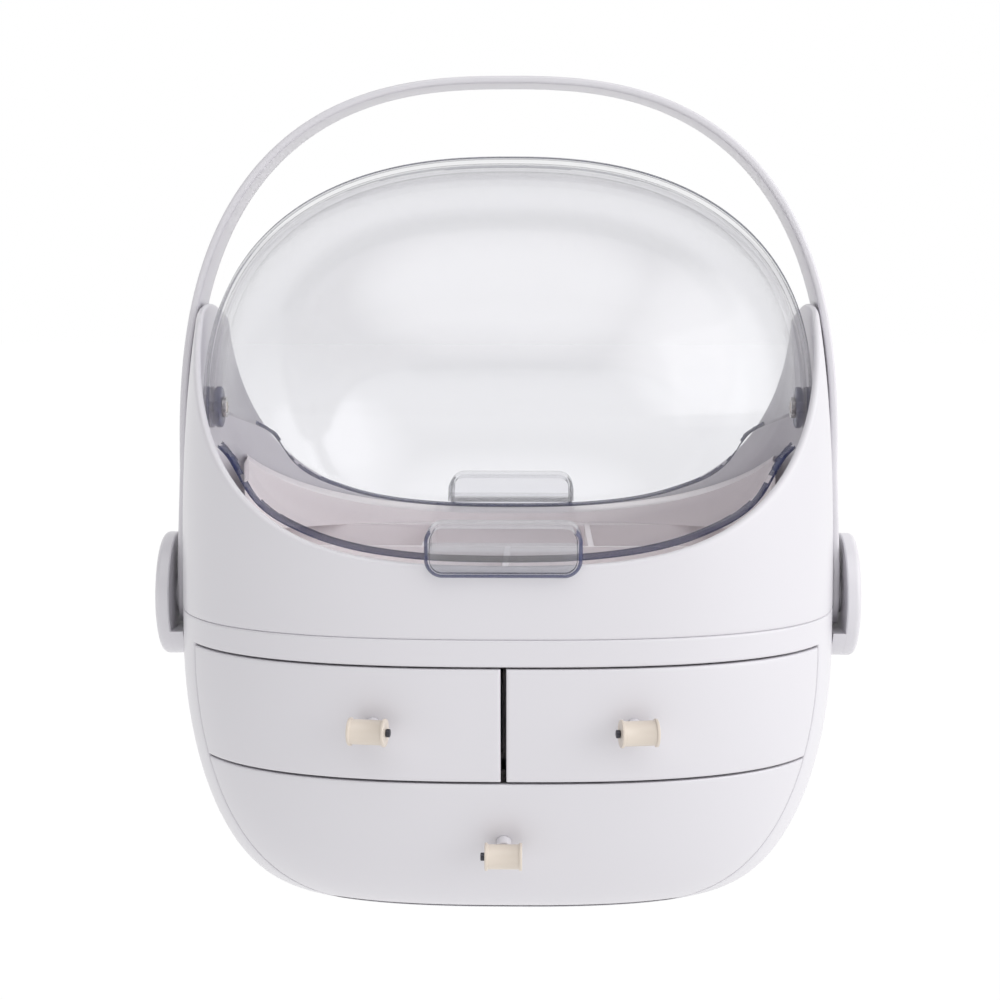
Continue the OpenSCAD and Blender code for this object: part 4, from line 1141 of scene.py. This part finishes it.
class ORGANIZER_OT_stage(Build, bpy.types.Operator):
    """Floor, backdrop, lights and camera"""
    bl_idname = "organizer.stage"
    bl_label = "Stage"

    def build(self):
        view = bpy.context.scene.view_settings
        view.view_transform = "Standard"
        view.look = "None"
        self.floor()
        self.world()
        self.key_light()
        self.camera()

    def floor(self):
        """White sweep paper, glowing so that it shows no shadow."""
        far = 9000
        corners = [(-far, -far, -0.2), (far, -far, -0.2), (far, far, -0.2), (-far, far, -0.2)]
        floor = mesh_object("floor", corners, [[0, 1, 2, 3]])
        mat, t = new_material("pale_floor")
        s = add(t, "ShaderNodeBsdfPrincipled", {
            "Base Color": linear("303030"), "Roughness": 0.9, "Specular IOR Level": 0.0,
            "Emission Color": linear("FFFFFF"), "Emission Strength": 0.985})
        add(t, "ShaderNodeOutputMaterial", links={"Surface": s.outputs[0]})
        floor.data.materials.append(mat)
        floor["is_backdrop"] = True

    def world(self):
        """A white sweep behind the object, and a dimmer room in front of it."""
        world = bpy.data.worlds.new("studio")
        world.use_nodes = True
        w = world.node_tree
        w.nodes.clear()
        way = add(w, "ShaderNodeTexCoord").outputs["Generated"]
        total = None
        # each patch of light: its direction, the cosines where it starts and is full, and both strengths
        for direction, start, end, low, high in (
            ((0, 1, 0), -0.1, 0.5, 0, 1),               # sweep behind the object
            ((0, 0, 1), 0, 0.5, 0.84, 0.12),            # pale walls, dimmer towards the ceiling
            ((0.9, -0.33, 0.28), 0.6, 0.95, 0, 2.1),   # large soft light on the right
            ((0, -0.5, 0.87), 0.75, 0.98, 0, 1.7),       # soft light above the camera
        ):
            towards = add(w, "ShaderNodeVectorMath", {1: direction}, {0: way}, operation="DOT_PRODUCT")
            glow = add(w, "ShaderNodeMapRange", {"From Min": start, "From Max": end, "To Min": low,
                                                 "To Max": high}, {"Value": towards.outputs["Value"]},
                       interpolation_type="SMOOTHSTEP").outputs[0]
            total = glow if total is None else add(w, "ShaderNodeMath", links={0: total, 1: glow},
                                                   operation="MAXIMUM").outputs[0]
        sky = add(w, "ShaderNodeBackground", {"Color": linear("FFFFFF")}, {"Strength": total})
        add(w, "ShaderNodeOutputWorld", links={"Surface": sky.outputs[0]})
        bpy.context.scene.world = world

    def key_light(self):
        """Large soft light on the right, aimed at the object's middle."""
        light = bpy.data.lights.new("key", "AREA")
        light.size = 1.2
        light.energy = 2
        o = linked("key", light)
        o.location = (1.5, -0.8, 0.6)
        o.rotation_euler = (Vector((0, 0, 0.17)) - o.location).to_track_quat("-Z", "Y").to_euler()

    def camera(self):
        """Camera fitted to the photograph."""
        focal = 1957                   # focal length in pixels of a picture 1000 wide
        shift = 8                      # pixels that the object stands right of the middle
        distance, height = 0.845, 0.25
        side = math.radians(0.9)
        camera = bpy.data.cameras.new("camera")
        camera.sensor_width = 36
        camera.lens = 36 * focal / 1000
        o = linked("camera", camera)
        o.location = (distance * math.sin(side), -distance * math.cos(side), height)
        o.rotation_euler = (math.radians(84), 0, side + shift / focal)
        bpy.context.scene.camera = o


PIECES = (
    ORGANIZER_OT_lower_housing, ORGANIZER_OT_upper_shell, ORGANIZER_OT_upper_drawers,
    ORGANIZER_OT_lower_drawer, ORGANIZER_OT_covers, ORGANIZER_OT_handle, ORGANIZER_OT_side_discs,
    ORGANIZER_OT_ledges, ORGANIZER_OT_screws, ORGANIZER_OT_inner_pieces, ORGANIZER_OT_stage,
)


class ORGANIZER_PT_panel(bpy.types.Panel):
    """Sizes, colours and pieces of the organizer"""
    bl_label = "Makeup organizer"
    bl_space_type = "VIEW_3D"
    bl_region_type = "UI"
    bl_category = "Organizer"

    def draw(self, context):
        for group in (context.scene.organizer_sizes, context.scene.organizer_colours):
            for key in group.__annotations__:
                self.layout.prop(group, key)
        for piece in PIECES:
            self.layout.operator(piece.bl_idname)


CLASSES = (OrganizerSizes, OrganizerColours, *PIECES, ORGANIZER_PT_panel)


def register():
    for c in CLASSES:
        bpy.utils.register_class(c)
    bpy.types.Scene.organizer_sizes = bpy.props.PointerProperty(type=OrganizerSizes)
    bpy.types.Scene.organizer_colours = bpy.props.PointerProperty(type=OrganizerColours)


def unregister():
    del bpy.types.Scene.organizer_colours
    del bpy.types.Scene.organizer_sizes
    for c in reversed(CLASSES):
        bpy.utils.unregister_class(c)


def main():
    register()
    for piece in PIECES:
        getattr(bpy.ops.organizer, piece.bl_idname.split(".")[1])()
    plain = lambda box: [list(corner) for corner in box]
    {"cad": plain(CAD_BOX), "visual": plain(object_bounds())}


if __name__ == "__main__":
    main()
